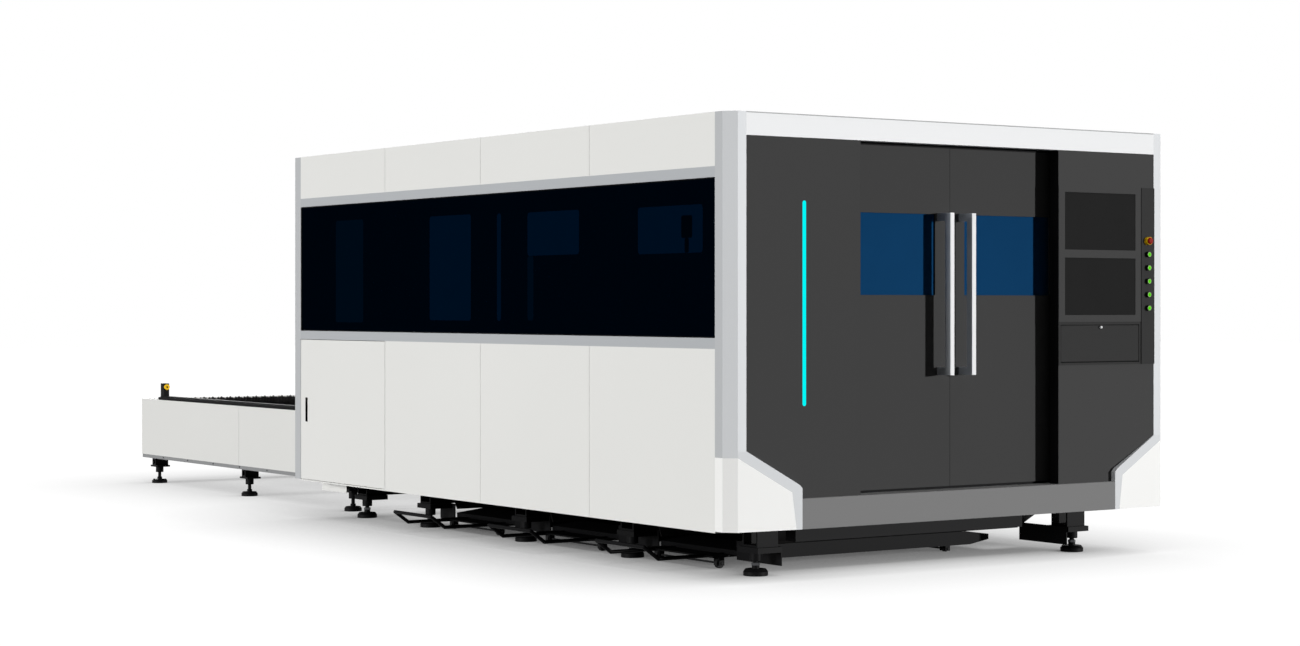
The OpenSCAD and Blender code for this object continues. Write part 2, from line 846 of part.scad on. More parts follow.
module button_collars() color([0.8, 0.82, 0.8]) placed() {
    for (z = button_z) turned_y(button_x, 0, z) collar(collar_dia, collar_front, button_dia + 2 * pin_gap);
}

// Plate under the emergency stop
module stop_base() color([0.9, 0.7, 0.05]) placed() turned_y(button_x, 0, stop_z)
    collar(stop_dia + 10, strip_face - stop_plate, stem_dia + 2 * pin_gap);

// The sill: a folded channel whose top runs back to the door track
module sill() color([0.5, 0.5, 0.51]) placed() {
    back = track_y - track_w / 2;
    t = 4;
    block([-sill_half, -sill_proud, cabin_bottom], [sill_half, -sill_proud + t, sill_top]);
    block([-sill_half, -sill_proud, sill_top - t], [sill_half, back, sill_top]);
    block([-sill_half, -sill_proud, cabin_bottom], [sill_half, back, cabin_bottom + t]);
}

// White corners under the posts, folded round the bevel and flaring out to the sill
module bumper_corner() {
    t = corner_t;
    k = t * tan(22.5);
    end_y = -(foot_u - post_bevel) * corner_flare;
    intersection() {
        translate([-half_w, 0, 0]) front_plate(-sill_proud - 1, side_start + 1)
            polygon([[0, cabin_bottom], [foot_u, cabin_bottom], [knee_u, knee_z], [post_bevel, corner_top],
                     [0, corner_top]]);
        translate([-half_w, 0, 0]) linear_extrude(cabin_top)
            polygon([[0, side_start], [0, post_bevel], [post_bevel, 0], [foot_u, end_y], [foot_u, end_y + t],
                     [post_bevel + k, t], [t, post_bevel + k], [t, side_start]]);
    }
}

module bumper_corners() color([0.93, 0.93, 0.92]) placed() both_sides() bumper_corner();

// Track under the doors, and the guide over them that is bolted into the fascia
module door_rails() color(steel) placed() {
    reach = front_half - 15;
    lip = 4;
    front = door_inset - slide_gap;
    back = door_inset + door_d + slide_gap;
    top = fascia_low + sheet + lip;
    block([-reach, track_y - track_w / 2, sill_top - 18],
          [reach, track_y + track_w / 2, door_low - slide_gap]);
    block([-reach, front - lip, door_top - 6], [reach, front, top]);
    block([-reach, back, door_top - 6], [reach, back + lip, top]);
    block([-reach, front_d / 3, top - lip], [reach, back + lip, top]);
}

// Front doors

module door_leaf() {
    right = -door_seam / 2;
    left = right - door_w;
    back = door_inset + door_d;
    hole_low = [left + stile, door_inset - 1, pane_low];
    hole_high = [right - stile, back + 1, pane_low + pane_h];
    rim = [12, 0, 12];
    difference() {
        union() {
            front_pan(left, right, door_low, door_top, door_inset, door_d);
            block(hole_low - rim + [0, 1, 0], hole_high + rim - [0, 1, 0]);
        }
        block(hole_low, hole_high);
    }
}

module door_pane() {
    right = -door_seam / 2 - stile - slide_gap;
    left = -door_seam / 2 - door_w + stile + slide_gap;
    front = door_inset + glass_inset;
    block([left, front, pane_low + slide_gap], [right, front + glass_t, pane_low + pane_h - slide_gap]);
}

// Flat-bar pull handle, standing off the door on a leg at each end
module door_handle() {
    x0 = -handle_x - handle_w / 2;
    x1 = -handle_x + handle_w / 2;
    top = handle_low + handle_h;
    block([x0, handle_y, handle_low], [x1, handle_y + handle_d, top]);
    for (z = [handle_low, top - handle_d]) block([x0, handle_y, z], [x1, door_inset, z + handle_d]);
}

module left_door() color(panel_dark) placed() door_leaf();
module left_door_glass() color([0.07, 0.23, 0.38, 0.9]) placed() door_pane();
module left_door_handle() color([0.93, 0.93, 0.94]) placed() door_handle();
module right_door() color(panel_dark) placed() mirror([1, 0, 0]) door_leaf();
module right_door_glass() color([0.07, 0.23, 0.38, 0.9]) placed() mirror([1, 0, 0]) door_pane();
module right_door_handle() color([0.93, 0.93, 0.94]) placed() mirror([1, 0, 0]) door_handle();

// Console's moving pieces

// Drop-down flap with a rounded lower edge and a pivot pin at each end
module keyboard_flap() color(panel_dark) placed() {
    block([flap_left, 0, flap_axis[1]], [flap_left + flap_w, flap_t, flap_low + flap_h]);
    translate([flap_left, flap_axis[0], flap_axis[1]]) rotate([0, 90, 0]) cylinder(d = flap_t, h = flap_w);
    translate([flap_left - flap_gap - sheet, flap_axis[0], flap_axis[1]]) rotate([0, 90, 0])
        cylinder(d = hinge_dia, h = flap_w + 2 * (flap_gap + sheet));
}

module keyboard() color(dark) placed() {
    width = flap_w - 100;
    height = flap_h - 40;
    x0 = surround_mid - width / 2;
    z0 = flap_low + 22;
    rows = 5;
    columns = 15;
    key = [width / (columns + 1), height / (rows + 1)];
    block([x0, flap_t, z0], [x0 + width, flap_t + 12, z0 + height]);
    for (row = [0:rows - 1], column = [0:columns - 1])
        translate([x0 + (column + 0.55) * key[0], flap_t + 12, z0 + (row + 0.55) * key[1]])
            cube([key[0] * 0.85, 4, key[1] * 0.85]);
}

module flap_knob() color([0.85, 0.86, 0.87]) placed() {
    turned_y(surround_mid, -12, flap_low + flap_h - 10)
        rotate_extrude() polygon([[0, 0], [5, 0], [7, 2], [7, 6], [4, 8], [4, 12], [0, 12]]);
}

// A push button: domed cap with a stem that runs in its collar
module push_button(z) {
    r = button_dia / 2;
    end = barrel_end - 8;
    turned_y(button_x, 0, z) rotate_extrude()
        polygon([[0, collar_front - 3], [r - 3, collar_front - 2.4], [r, collar_front - 0.5],
                 [r, end], [0, end]]);
}

module push_button_1() color([0.35, 0.75, 0.15]) placed() push_button(button_z[0]);
module push_button_2() color([0.35, 0.75, 0.15]) placed() push_button(button_z[1]);
module push_button_3() color([0.35, 0.75, 0.15]) placed() push_button(button_z[2]);
module push_button_4() color([0.35, 0.75, 0.15]) placed() push_button(button_z[3]);
module push_button_5() color([0.35, 0.75, 0.15]) placed() push_button(button_z[4]);

// Mushroom of the emergency stop, which stands off its plate by the press travel and a little more
module emergency_stop() color([0.75, 0.1, 0.05]) placed() {
    r = stop_dia / 2;
    back = strip_face - stop_plate - 7;
    end = barrel_end - 8;
    turned_y(button_x, 0, stop_z) rotate_extrude()
        polygon([[0, back - 16], [r * 0.6, back - 15], [r * 0.9, back - 12], [r, back - 8], [r, back - 4],
                 [r * 0.8, back - 0.5], [stem_dia / 2, back], [stem_dia / 2, end], [0, end]]);
}

// Service door

module service_door() color(white) placed() {
    end = side_end - service_gap;
    low = cabin_bottom + service_gap;
    high = lower_top - service_gap;
    difference() {
        side_pan(service_start, end, low, high, panel_d);
        block([-half_w - 1, pull_y, pull_low], [-half_w + sheet + 1, pull_y + pull_w, pull_low + pull_h]);
    }
    translate([door_hinge[0], door_hinge[1], cabin_bottom - base_lip])
        cylinder(d = service_pin, h = low + 14 - cabin_bottom + base_lip);
    translate([door_hinge[0], door_hinge[1], high - 14])
        cylinder(d = service_pin, h = 14 + service_gap + sheet + 4);
}

// Flush pull: a cup let into the door, open to the outside
module service_door_pull() color(dark) placed() {
    g = slide_gap;
    difference() {
        block([-half_w, pull_y + g, pull_low + g],
              [-half_w + pull_d, pull_y + pull_w - g, pull_low + pull_h - g]);
        block([-half_w - 1, pull_y + 3, pull_low + 3],
              [-half_w + pull_d - 3, pull_y + pull_w - 3, pull_low + pull_h - 3]);
    }
}

// Gantry, carriage and cutting head

// A bearing block that grips a rail below it with a running gap; the rail stands on z = 0
module bearing_section(w, h, rw, rh) {
    g = slide_gap;
    difference() {
        translate([-w / 2, rh * 0.2]) square([w, h - rh * 0.2]);
        translate([-rw / 2 - g, -1]) square([rw + 2 * g, rh + g + 1]);
    }
}

// A motor on its gearbox, with its plug and the pinion below; the axis is z and the pinion's foot is z = 0
module rack_motor(gear_w, gear_low, gear_h) {
    plug = motor_dia * 0.6;
    cylinder(d = pinion_dia, h = rack_w);
    cylinder(d = pinion_dia * 0.4, h = gear_low + 1);
    translate([-gear_w / 2, -gear_w / 2, gear_low]) cube([gear_w, gear_w, gear_h]);
    translate([0, 0, gear_low + gear_h]) {
        cylinder(d = motor_dia, h = motor_l);
        translate([-plug / 2, -motor_dia * 0.65, motor_l * 0.7]) cube([plug, motor_dia / 2, motor_l / 4]);
    }
}

// End of the beam: a plate with a passage for the cables, and the shelf and motor that stand outside it
module gantry_end(reach) {
    gear = 90;
    low = gantry_low - 50;
    difference() {
        block([-reach - end_plate, gantry_front - 8, low],
              [-reach, gantry_front + gantry_d + 8, gantry_top + 8]);
        translate([-reach - end_plate - 1, gantry_y + gantry_d / 4, gantry_top - gantry_h / 3])
            rotate([0, 90, 0]) cylinder(d = gantry_d / 4, h = end_plate + 2);
    }
    block([-drive_pinion_x, gantry_y - gear / 2, low], [-reach - end_plate, gantry_y + gear / 2, low + 60]);
    translate([-drive_pinion_x, gantry_y, beam_top - rack_w]) rack_motor(gear, rack_w + 15, gear);
}

// Hollow beam on four bearing blocks, with the carriage's rails on its front and their rack on its top
module gantry_beam() color([0.75, 0.76, 0.78]) placed() {
    reach = beam_out - 25;
    rail_reach = reach - 20;
    wall = 10;
    both_sides() gantry_end(reach);
    block([-rail_reach, rack_y, gantry_top], [rail_reach, rack_y + rack_w, gantry_top + rack_w]);
    difference() {
        block([-reach, gantry_front, gantry_low], [reach, gantry_front + gantry_d, gantry_top]);
        block([-reach - 1, gantry_front + wall, gantry_low + wall],
              [reach + 1, gantry_front + gantry_d - wall, gantry_top - wall]);
    }
    both_sides() for (y = [gantry_front + 5, gantry_front + gantry_d - bearing_l - 5])
        translate([-rail_x, y + bearing_l, beam_top]) rotate([90, 0, 0])
            linear_extrude(bearing_l) bearing_section(bearing_w, gantry_low - beam_top, rail_w, rail_h);
    for (z = x_rail_z)
        translate([-rail_reach, gantry_front, z]) rotate([90, 0, 90]) linear_extrude(2 * rail_reach)
            rotate(90) rail_section(z_rail_w, x_rail_h);
}

// Motor and screw of the vertical slide, on the top of the carriage plate
module lift_drive() {
    screw_dia = 14;
    flange = [motor_dia * 0.9, motor_dia * 0.77, 14];
    top = gantry_top + carriage_over;
    translate([carriage_x, carriage_back - carriage_t - screw_dia * 0.43, gantry_low + 10])
        cylinder(d = screw_dia, h = top - gantry_low);
    translate([carriage_x, carriage_back - flange[1] + motor_dia * 0.45, top]) {
        cylinder(d = motor_dia * 0.75, h = motor_l * 0.7);
        translate([-flange[0] / 2, -motor_dia * 0.45, -flange[2]]) cube(flange);
    }
}

// Carriage plate with two bearing blocks on each rail of the beam, its rack motor, and the rails for the slide
module carriage() color([0.3, 0.31, 0.33]) placed() {
    half = carriage_w / 2;
    gear = 76;
    shelf = gantry_top + rack_w + 12;
    pinion_y = rack_y + rack_w + pinion_dia / 2 + fit_gap;
    block([carriage_x - half, carriage_back - carriage_t, gantry_low - carriage_under],
          [carriage_x + half, carriage_back, gantry_top + carriage_over]);
    for (z = x_rail_z, x = [10 - half, half - bearing_l - 10])
        translate([carriage_x + x, gantry_front, z]) rotate([90, 0, 90]) linear_extrude(bearing_l)
            rotate(90) bearing_section(50, x_rail_h + slide_gap, z_rail_w, x_rail_h);
    for (x = [-60, 60])
        translate([carriage_x + x - z_rail_w / 2, carriage_back - carriage_t - z_rail_h,
                   gantry_low - carriage_under + 10])
            cube([z_rail_w, z_rail_h, gantry_h + carriage_under + carriage_over - 20]);
    block([carriage_x - gear / 2, carriage_back - 5, shelf], [carriage_x + gear / 2, pinion_y, shelf + 20]);
    translate([carriage_x, pinion_y, gantry_top + 1]) rack_motor(gear, shelf - gantry_top - 1, 60);
    lift_drive();
}

// Vertical slide with the head clamped to it: body, lens drawer, gas ports, focus barrel and nozzle cone
module cutting_head() color([0.6, 0.61, 0.63]) placed() {
    low = nozzle_z + 95;
    body_r = 50;
    barrel_r = 38;
    block([carriage_x - 90, head_back - slide_t, low], [carriage_x + 90, head_back, gantry_top + 40]);
    for (z = [low + 10, gantry_top - 30])
        block([carriage_x - 40, head_y, z], [carriage_x + 40, head_back - slide_t, z + 30]);
    translate([carriage_x, head_y, 0]) {
        rotate_extrude()
            polygon([[0, nozzle_z], [4, nozzle_z], [14, nozzle_z + 28], [22, nozzle_z + 34],
                     [22, nozzle_z + 60], [barrel_r, nozzle_z + 75], [barrel_r, low + 60], [body_r, low + 70],
                     [body_r, gantry_top + 20], [28, gantry_top + 36], [28, gantry_top + 90],
                     [18, gantry_top + 94], [18, gantry_top + 150], [13, gantry_top + 156],
                     [0, gantry_top + 156]]);
        block([-32, -body_r - 4, low + 14], [32, 0, low + 46]);
        block([-body_r - 8, -30, low + 96], [body_r + 8, 30, gantry_top - 10]);
        translate([-barrel_r - 32, 0, low + 30]) rotate([0, 90, 0]) cylinder(d = 18, h = 2 * (barrel_r + 32));
    }
}

// Exchange table

module table_frame() color(grey) placed() {
    out = table_half - 4;
    in = out - 80;
    both_sides() {
        block([-out, table_start, table_low], [-in, table_end - 4, table_panel_low]);
        block([-upright_out, table_start, table_panel_top - table_top_h],
              [-upright_out + upright_t, table_end - table_panel_d - 1, table_panel_top]);
        for (y = table_leg_y)
            block([-upright_out, table_start + y - upright_l / 2, table_panel_low + weld],
                  [-upright_out + upright_t, table_start + y + upright_l / 2,
                   table_panel_top - table_top_h - weld]);
    }
    for (y = table_leg_y)
        block([-in + weld, table_start + y - upright_l / 2, table_low],
              [in - weld, table_start + y + upright_l / 2, table_panel_low]);
}

// White side panels in two lengths, and the panel across the far end
module table_panels() color(white) placed() {
    joint = table_start + table_l * 0.5262;
    both_sides() {
        table_side_panel(table_start, joint - seam / 2);
        table_side_panel(joint + seam / 2, table_end);
    }
    reach = table_half - table_panel_d - fit_gap;
    difference() {
        block([-reach, table_end - table_panel_d, table_panel_low], [reach, table_end, table_panel_top]);
        block([-reach + sheet, table_end - table_panel_d - 1, table_panel_low + sheet],
              [reach - sheet, table_end - sheet, table_panel_top - sheet]);
    }
}

module table_side_panel(y0, y1) {
    difference() {
        block([-table_half, y0, table_panel_low], [-table_half + table_panel_d, y1, table_panel_top]);
        block([-table_half + sheet, y0 + sheet, table_panel_low + sheet],
              [-table_half + table_panel_d + 1, y1 - sheet, table_panel_top - sheet]);
    }
}

// Ledges that the pallets run on, in the bed and in the table, and the covers along the table's top
module table_rails() color(dark) placed() {
    both_sides() {
        for (z = [upper_tier, lower_tier]) {
            block([-beam_in + weld, pallet_in - 60, z - ledge_t], [-ledge_in, wall_in - fit_gap, z]);
            block([-upright_out + upright_t + weld, wall_in, z - ledge_t],
                  [-ledge_in, table_end - table_panel_d - 2, z]);
        }
        block([-table_half, table_start, table_panel_top], [-pallet_half - 4, cover_end, cover_top - 8]);
        block([-table_half + 12, table_start, cover_top - 8], [-pallet_half - 14, cover_end - 10, cover_top]);
    }
}

// Each foot hangs from the frame by a stub of square tube on a plate
module table_feet() color(dark) placed() {
    plate_z = table_low - foot_stub[1] - foot_plate[2];
    both_sides() for (y = table_leg_y)
        translate([-table_half + 54, table_start + y, 0]) {
            levelling_foot(pad_dia * 0.92, pad_h * 0.9, plate_z);
            translate([-45, -foot_plate[1] / 2, plate_z]) cube(foot_plate);
            tube_x(-45, foot_plate[0] - 45, 0, foot_stub[0], plate_z + foot_plate[2], table_low);
        }
}

// A sprocket on a shaft along X
module sprocket(x, y) {
    translate([x, y, drive_z]) rotate([0, 90, 0]) {
        cylinder(d = sprocket_dia, h = chain_w - 4);
        translate([0, 0, -4]) cylinder(d = sprocket_dia * 0.6, h = chain_w + 4);
    }
}

// Pallet drive: gearmotor and cross shaft under the far end of the table, and a chain along each side
module exchange_drive() color([0.35, 0.36, 0.38]) placed() {
    box = [120, 90, drive_z + 60 - table_low];
    inside = upright_out - upright_t;
    chain_x = ledge_in + 8;
    translate([-box[0] / 2, drive_y - box[1] / 2, table_low]) cube(box);
    translate([box[0] / 2, drive_y, drive_z]) rotate([0, 90, 0]) cylinder(d = drive_dia, h = drive_l);
    translate([-inside, drive_y, drive_z]) rotate([0, 90, 0]) cylinder(d = upright_t, h = 2 * inside);
    both_sides() {
        block([-upright_out, drive_y - 40, table_panel_low + weld], [-inside, drive_y + 40, drive_z + 50]);
        block([-upright_out, idler_y - upright_l / 2, table_panel_low + weld],
              [-inside, idler_y + upright_l / 2, table_panel_top - table_top_h - weld]);
        translate([-inside, idler_y, drive_z]) rotate([0, 90, 0])
            cylinder(d = upright_t / 2, h = inside - chain_x);
        for (y = [drive_y, idler_y]) sprocket(-chain_x - chain_w + 2, y);
        for (z = [-1, 1] * sprocket_dia / 2)
            block([-chain_x - chain_w, idler_y, drive_z + z - chain_h / 2],
                  [-chain_x, drive_y, drive_z + z + chain_h / 2]);
    }
    block([-80, table_start + table_leg_y[2] + upright_l / 2 + weld, table_low],
          [80, drive_y, table_panel_low]);
}

// Light barrier posts on the covers, with a lens on the side to the cabin
module light_barriers() color(dark) placed() {
    both_sides() {
        translate([-barrier_x - barrier[0] / 2, barrier_y, cover_top]) cube(barrier);
        turned_y(-barrier_x, barrier_y - ring_t / 2, barrier_lens_z) cylinder(d = lens_dia, h = ring_t);
    }
}

// Rings round those lenses
module barrier_rings() color([0.9, 0.7, 0.05]) placed() {
    both_sides() turned_y(-barrier_x, barrier_y - ring_t, barrier_lens_z) difference() {
        cylinder(d = ring_dia, h = ring_t);
        translate([0, 0, -1]) cylinder(d = lens_dia + 2 * pin_gap, h = ring_t + 2);
    }
}

// Pallets

// Frame of a pallet, standing with its shoes on z = 0
module pallet_frame() {
    low = pallet_floor;
    high = low + pallet_h;
    both_sides() {
        block([-pallet_half, 0, low], [-pallet_inner, pallet_l, high]);
        block([-pallet_inner, 0, low + slat_foot - 12], [-pallet_inner + 30, pallet_l, low + slat_foot]);
        for (y = [0.06, 0.35, 0.65, 0.94] * pallet_l)
            block([-pallet_half + 3, y - 60, slide_gap], [-ledge_in - 3, y + 60, low]);
    }
    for (y = [0, pallet_l - pallet_end])
        block([-pallet_inner, y, low], [pallet_inner, y + pallet_end, high]);
    for (y = [0.25, 0.5, 0.75] * pallet_l)
        block([-pallet_inner, y - 30, low], [pallet_inner, y + 30, low + slat_foot - 12]);
}

// One slat with its saw-tooth top, drawn in X and Z
module slat_outline() {
    count = floor(slat_len / tooth);
    half = slat_len / 2;
    rest = (slat_len - count * tooth) / 2;
    crest = [for (i = [0:count - 1], j = [0, 1])
        [half - rest - (i + (j == 0 ? 0 : 0.5)) * tooth, j == 0 ? slat_h - tooth_h : slat_h]];
    polygon(concat([[-half, 0], [half, 0], [half, slat_h - tooth_h]], crest,
                   [[-half + rest, slat_h - tooth_h], [-half, slat_h - tooth_h]]));
}

module pallet_slats() {
    pitch = (pallet_l - 2 * pallet_end) / slat_count;
    translate([0, 0, pallet_floor + slat_foot])
        for (i = [0:slat_count - 1]) {
            y = pallet_end + (i + 0.5) * pitch;
            front_plate(y - slat_t / 2, y + slat_t / 2) slat_outline();
        }
}

module upper_pallet_frame() color(dark) placed() translate([0, pallet_out, upper_tier]) pallet_frame();
module upper_pallet_slats() color(steel) placed() translate([0, pallet_out, upper_tier]) pallet_slats();
module lower_pallet_frame() color(dark) placed() translate([0, pallet_in, lower_tier]) pallet_frame();
module lower_pallet_slats() color(steel) placed() translate([0, pallet_in, lower_tier]) pallet_slats();

// Scrap trolleys

// A round bar between two points in X and Z
module bar(from, to) {
    run = to - from;
    translate([from[0], 0, from[1]]) rotate([0, atan2(run[0], run[1]), 0])
        cylinder(d = bar_dia, h = norm(run));
}

// An ear that carries a wheel axle, bored for it
module axle_ear(x, z, y, top) {
    difference() {
        block([x - 16, y, z - 11], [x + 16, y + ear_t, top]);
        turned_y(x, y - 1, z) cylinder(d = axle_dia + 2 * pin_gap, h = ear_t + 2);
    }
}

module loop_handle() {
    knee = [-half_w + 108, bracket_z + 4];
    grip = [-half_w + 22, grip_z];
    for (side = [-1, 1]) translate([0, side * arm_span / 2, 0]) {
        bar([tray_left + 20, bracket_z + 4], knee);
        bar(knee, grip);
        for (p = [knee, grip]) translate([p[0], 0, p[1]]) sphere(d = bar_dia);
    }
    turned_y(grip[0], -arm_span / 2, grip[1]) cylinder(d = bar_dia, h = arm_span);
}

// Tray with wedge-shaped ends, its outer bracket, ears and loop handle
module trolley(i) {
    wedge = 130;
    lip = 1.4 * wedge;
    mid_z = (tray_low + tray_top) / 2;
    nose = 14;
    translate([0, trolley_y + i * trolley_pitch, 0]) {
        difference() {
            front_plate(-tray_w / 2, tray_w / 2)
                polygon([[tray_left, mid_z - nose], [tray_left + wedge, tray_low],
                         [tray_right - wedge, tray_low], [tray_right, mid_z - nose],
                         [tray_right, mid_z + nose], [tray_right - lip, tray_top],
                         [tray_left + lip, tray_top], [tray_left, mid_z + nose]]);
            block([tray_left + lip + tray_wall, -tray_w / 2 + tray_wall, tray_low + tray_wall],
                  [tray_right - lip - tray_wall, tray_w / 2 - tray_wall, tray_top + 1]);
        }
        block([outer_axle_x - 66, -arm_span / 2 - 90, bracket_z],
              [tray_left + 20, arm_span / 2 + 90, bracket_z + 8]);
        for (side = [-1, 1]) {
            y = side * wheel_track - ear_t / 2;
            for (d = [-20, 20]) {
                axle_ear(outer_axle_x, outer_wheel_dia / 2, y + d, bracket_z);
                axle_ear(inner_axle_x, inner_wheel_dia / 2, y + d, tray_low + 1);
            }
        }
        loop_handle();
    }
}

// Two wheels on one axle along Y
module wheel_pair(x, dia, i) {
    half = wheel_track + 28;
    r = axle_dia / 2;
    translate([0, trolley_y + i * trolley_pitch, 0]) turned_y(x, -half, dia / 2) {
        cylinder(r = r, h = 2 * half);
        for (side = [-1, 1]) translate([0, 0, half + side * wheel_track - wheel_w / 2])
            rotate_extrude() polygon([[0, 0], [dia / 2 - 3, 0], [dia / 2, 3], [dia / 2, wheel_w - 3],
                                      [dia / 2 - 3, wheel_w], [0, wheel_w]]);
    }
}

module trolley_1() color(dark) placed() trolley(0);
module trolley_2() color(dark) placed() trolley(1);
module trolley_3() color(dark) placed() trolley(2);
module trolley_1_outer_wheels() color(dark) placed() wheel_pair(outer_axle_x, outer_wheel_dia, 0);
module trolley_2_outer_wheels() color(dark) placed() wheel_pair(outer_axle_x, outer_wheel_dia, 1);
module trolley_3_outer_wheels() color(dark) placed() wheel_pair(outer_axle_x, outer_wheel_dia, 2);
module trolley_1_inner_wheels() color(dark) placed() wheel_pair(inner_axle_x, inner_wheel_dia, 0);
module trolley_2_inner_wheels() color(dark) placed() wheel_pair(inner_axle_x, inner_wheel_dia, 1);
module trolley_3_inner_wheels() color(dark) placed() wheel_pair(inner_axle_x, inner_wheel_dia, 2);

bed_frame();
levelling_feet();
scrap_chutes();
gantry_rails();
base_rails();
corner_posts();
side_panels();
window_bands();
side_windows();
roof_panels();
rear_wall();
front_fascia();
front_left_panel();
led_strip();
console_panel();
monitor_surround();
monitors();
button_strip();
button_collars();
stop_base();
sill();
bumper_corners();
door_rails();
table_frame();
table_panels();
table_rails();
table_feet();
exchange_drive();
light_barriers();
barrier_rings();
upper_pallet_frame();
upper_pallet_slats();
lower_pallet_frame();
lower_pallet_slats();
gantry_beam();
carriage();
cutting_head();
left_door();
left_door_glass();
left_door_handle();
right_door();
right_door_glass();
right_door_handle();
keyboard_flap();
keyboard();
flap_knob();
push_button_1();
push_button_2();
push_button_3();
push_button_4();
push_button_5();
emergency_stop();
service_door();
service_door_pull();
trolley_1();
trolley_2();
trolley_3();
trolley_1_outer_wheels();
trolley_2_outer_wheels();
trolley_3_outer_wheels();
trolley_1_inner_wheels();
trolley_2_inner_wheels();
trolley_3_inner_wheels();
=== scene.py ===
"""Looks of a laser cutting machine with an exchange table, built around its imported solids. Metres, +Z up."""
import math

import bmesh
import bpy
from mathutils import Matrix, Vector


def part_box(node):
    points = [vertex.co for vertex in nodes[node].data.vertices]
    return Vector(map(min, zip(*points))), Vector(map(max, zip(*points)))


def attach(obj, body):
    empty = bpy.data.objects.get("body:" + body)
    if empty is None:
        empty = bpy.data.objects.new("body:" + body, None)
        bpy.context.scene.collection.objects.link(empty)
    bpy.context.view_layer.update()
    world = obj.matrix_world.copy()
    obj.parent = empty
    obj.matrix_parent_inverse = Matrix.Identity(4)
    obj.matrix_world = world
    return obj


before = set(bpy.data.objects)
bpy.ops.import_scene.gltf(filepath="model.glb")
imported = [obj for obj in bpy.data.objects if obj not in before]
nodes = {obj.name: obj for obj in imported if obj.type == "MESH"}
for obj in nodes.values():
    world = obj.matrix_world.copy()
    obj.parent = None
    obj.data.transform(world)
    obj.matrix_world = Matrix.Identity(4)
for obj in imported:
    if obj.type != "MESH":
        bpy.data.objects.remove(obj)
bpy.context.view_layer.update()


# Studio.
# A pale seamless floor under a white surround. A low lamp stands in front on the right, softer ones on the
# left and behind, and a wide one overhead, so that recesses fall dark. The floor's soft shadow is painted
# shade.
FLOOR_HALF = 60.0
FLOOR_GREY = (0.10, 0.10, 0.10, 1.0)
FLOOR_GLOW = 0.97
SHADOW_REACH, SHADOW_FADE = 1.25, 0.8
SHADOW_LEAN = {"X": 0.1, "Y": -0.35, "Z": 0.87}
FILL_LIGHT = 0.025


def new_finish(name):
    """An empty material and its main shader."""
    material = bpy.data.materials.new(name)
    material.use_nodes = True
    return material, material.node_tree, material.node_tree.nodes["Principled BSDF"]


def seen_directly(tree):
    """A socket that is 1 where the camera sees a surface by itself, in a gloss or through glass."""
    path = tree.nodes.new("ShaderNodeLightPath")
    seen = path.outputs["Is Camera Ray"]
    for kind in ("Is Glossy Ray", "Is Transmission Ray"):
        either = tree.nodes.new("ShaderNodeMath")
        either.operation = "MAXIMUM"
        tree.links.new(seen, either.inputs[0])
        tree.links.new(path.outputs[kind], either.inputs[1])
        seen = either.outputs["Value"]
    return seen


def keep_piece(name, bm, finish, body):
    """Turns a bmesh into an object that rides on a body of the machine."""
    mesh = bpy.data.meshes.new(name)
    bm.to_mesh(mesh)
    bm.free()
    piece = bpy.data.objects.new(name, mesh)
    bpy.context.scene.collection.objects.link(piece)
    mesh.materials.append(finish)
    if body:
        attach(piece, body)
    return piece


floor_finish, tree, shader = new_finish("studio_floor")
shader.inputs["Base Color"].default_value = FLOOR_GREY
shader.inputs["Roughness"].default_value = 0.9
shader.inputs["Specular IOR Level"].default_value = 0.0
# Painted shade: the floor's glow darkens by ambient occlusion, leant towards the front, round the machine.
shelter = tree.nodes.new("ShaderNodeAmbientOcclusion")
shelter.samples = 16
shelter.inputs["Distance"].default_value = SHADOW_REACH
lean = tree.nodes.new("ShaderNodeCombineXYZ")
for axis, amount in SHADOW_LEAN.items():
    lean.inputs[axis].default_value = amount
tree.links.new(lean.outputs["Vector"], shelter.inputs["Normal"])
pale = tree.nodes.new("ShaderNodeMath")
pale.operation = "MULTIPLY"
pale.inputs[1].default_value = FLOOR_GLOW
tree.links.new(seen_directly(tree), pale.inputs[0])
soften = tree.nodes.new("ShaderNodeMath")
soften.operation = "POWER"
soften.inputs[1].default_value = SHADOW_FADE
tree.links.new(shelter.outputs["AO"], soften.inputs[0])
tree.links.new(soften.outputs["Value"], shader.inputs["Emission Color"])
tree.links.new(pale.outputs["Value"], shader.inputs["Emission Strength"])
bm = bmesh.new()
bmesh.ops.create_grid(bm, x_segments=1, y_segments=1, size=FLOOR_HALF)
keep_piece("studio_floor", bm, floor_finish, None)

world = bpy.data.worlds.new("studio_world")
bpy.context.scene.world = world
world.use_nodes = True
tree = world.node_tree
background = tree.nodes["Background"]
background.inputs["Color"].default_value = (1.0, 1.0, 1.0, 1.0)
level = tree.nodes.new("ShaderNodeMapRange")
level.inputs["To Min"].default_value = FILL_LIGHT
level.inputs["To Max"].default_value = 1.0
tree.links.new(seen_directly(tree), level.inputs["Value"])
tree.links.new(level.outputs["Result"], background.inputs["Strength"])


def sun_lamp(name, towards, strength, spread):
    """A distant lamp that stands in the direction `towards`, with its apparent size in degrees."""
    lamp = bpy.data.lights.new(name, "SUN")
    lamp.energy = strength
    lamp.angle = math.radians(spread)
    holder = bpy.data.objects.new(name, lamp)
    holder.rotation_euler = Vector(towards).to_track_quat("Z", "Y").to_euler()
    bpy.context.scene.collection.objects.link(holder)


sun_lamp("front_lamp", (0.609, -0.793, 0.06), strength=3.25, spread=2.0)
sun_lamp("left_lamp", (-1.0, 0.06, 0.16), strength=2.85, spread=15.0)
sun_lamp("rear_lamp", (0.25, 1.0, 0.30), strength=1.6, spread=20.0)
sun_lamp("overhead_lamp", (0.12, -0.10, 1.0), strength=1.1, spread=25.0)

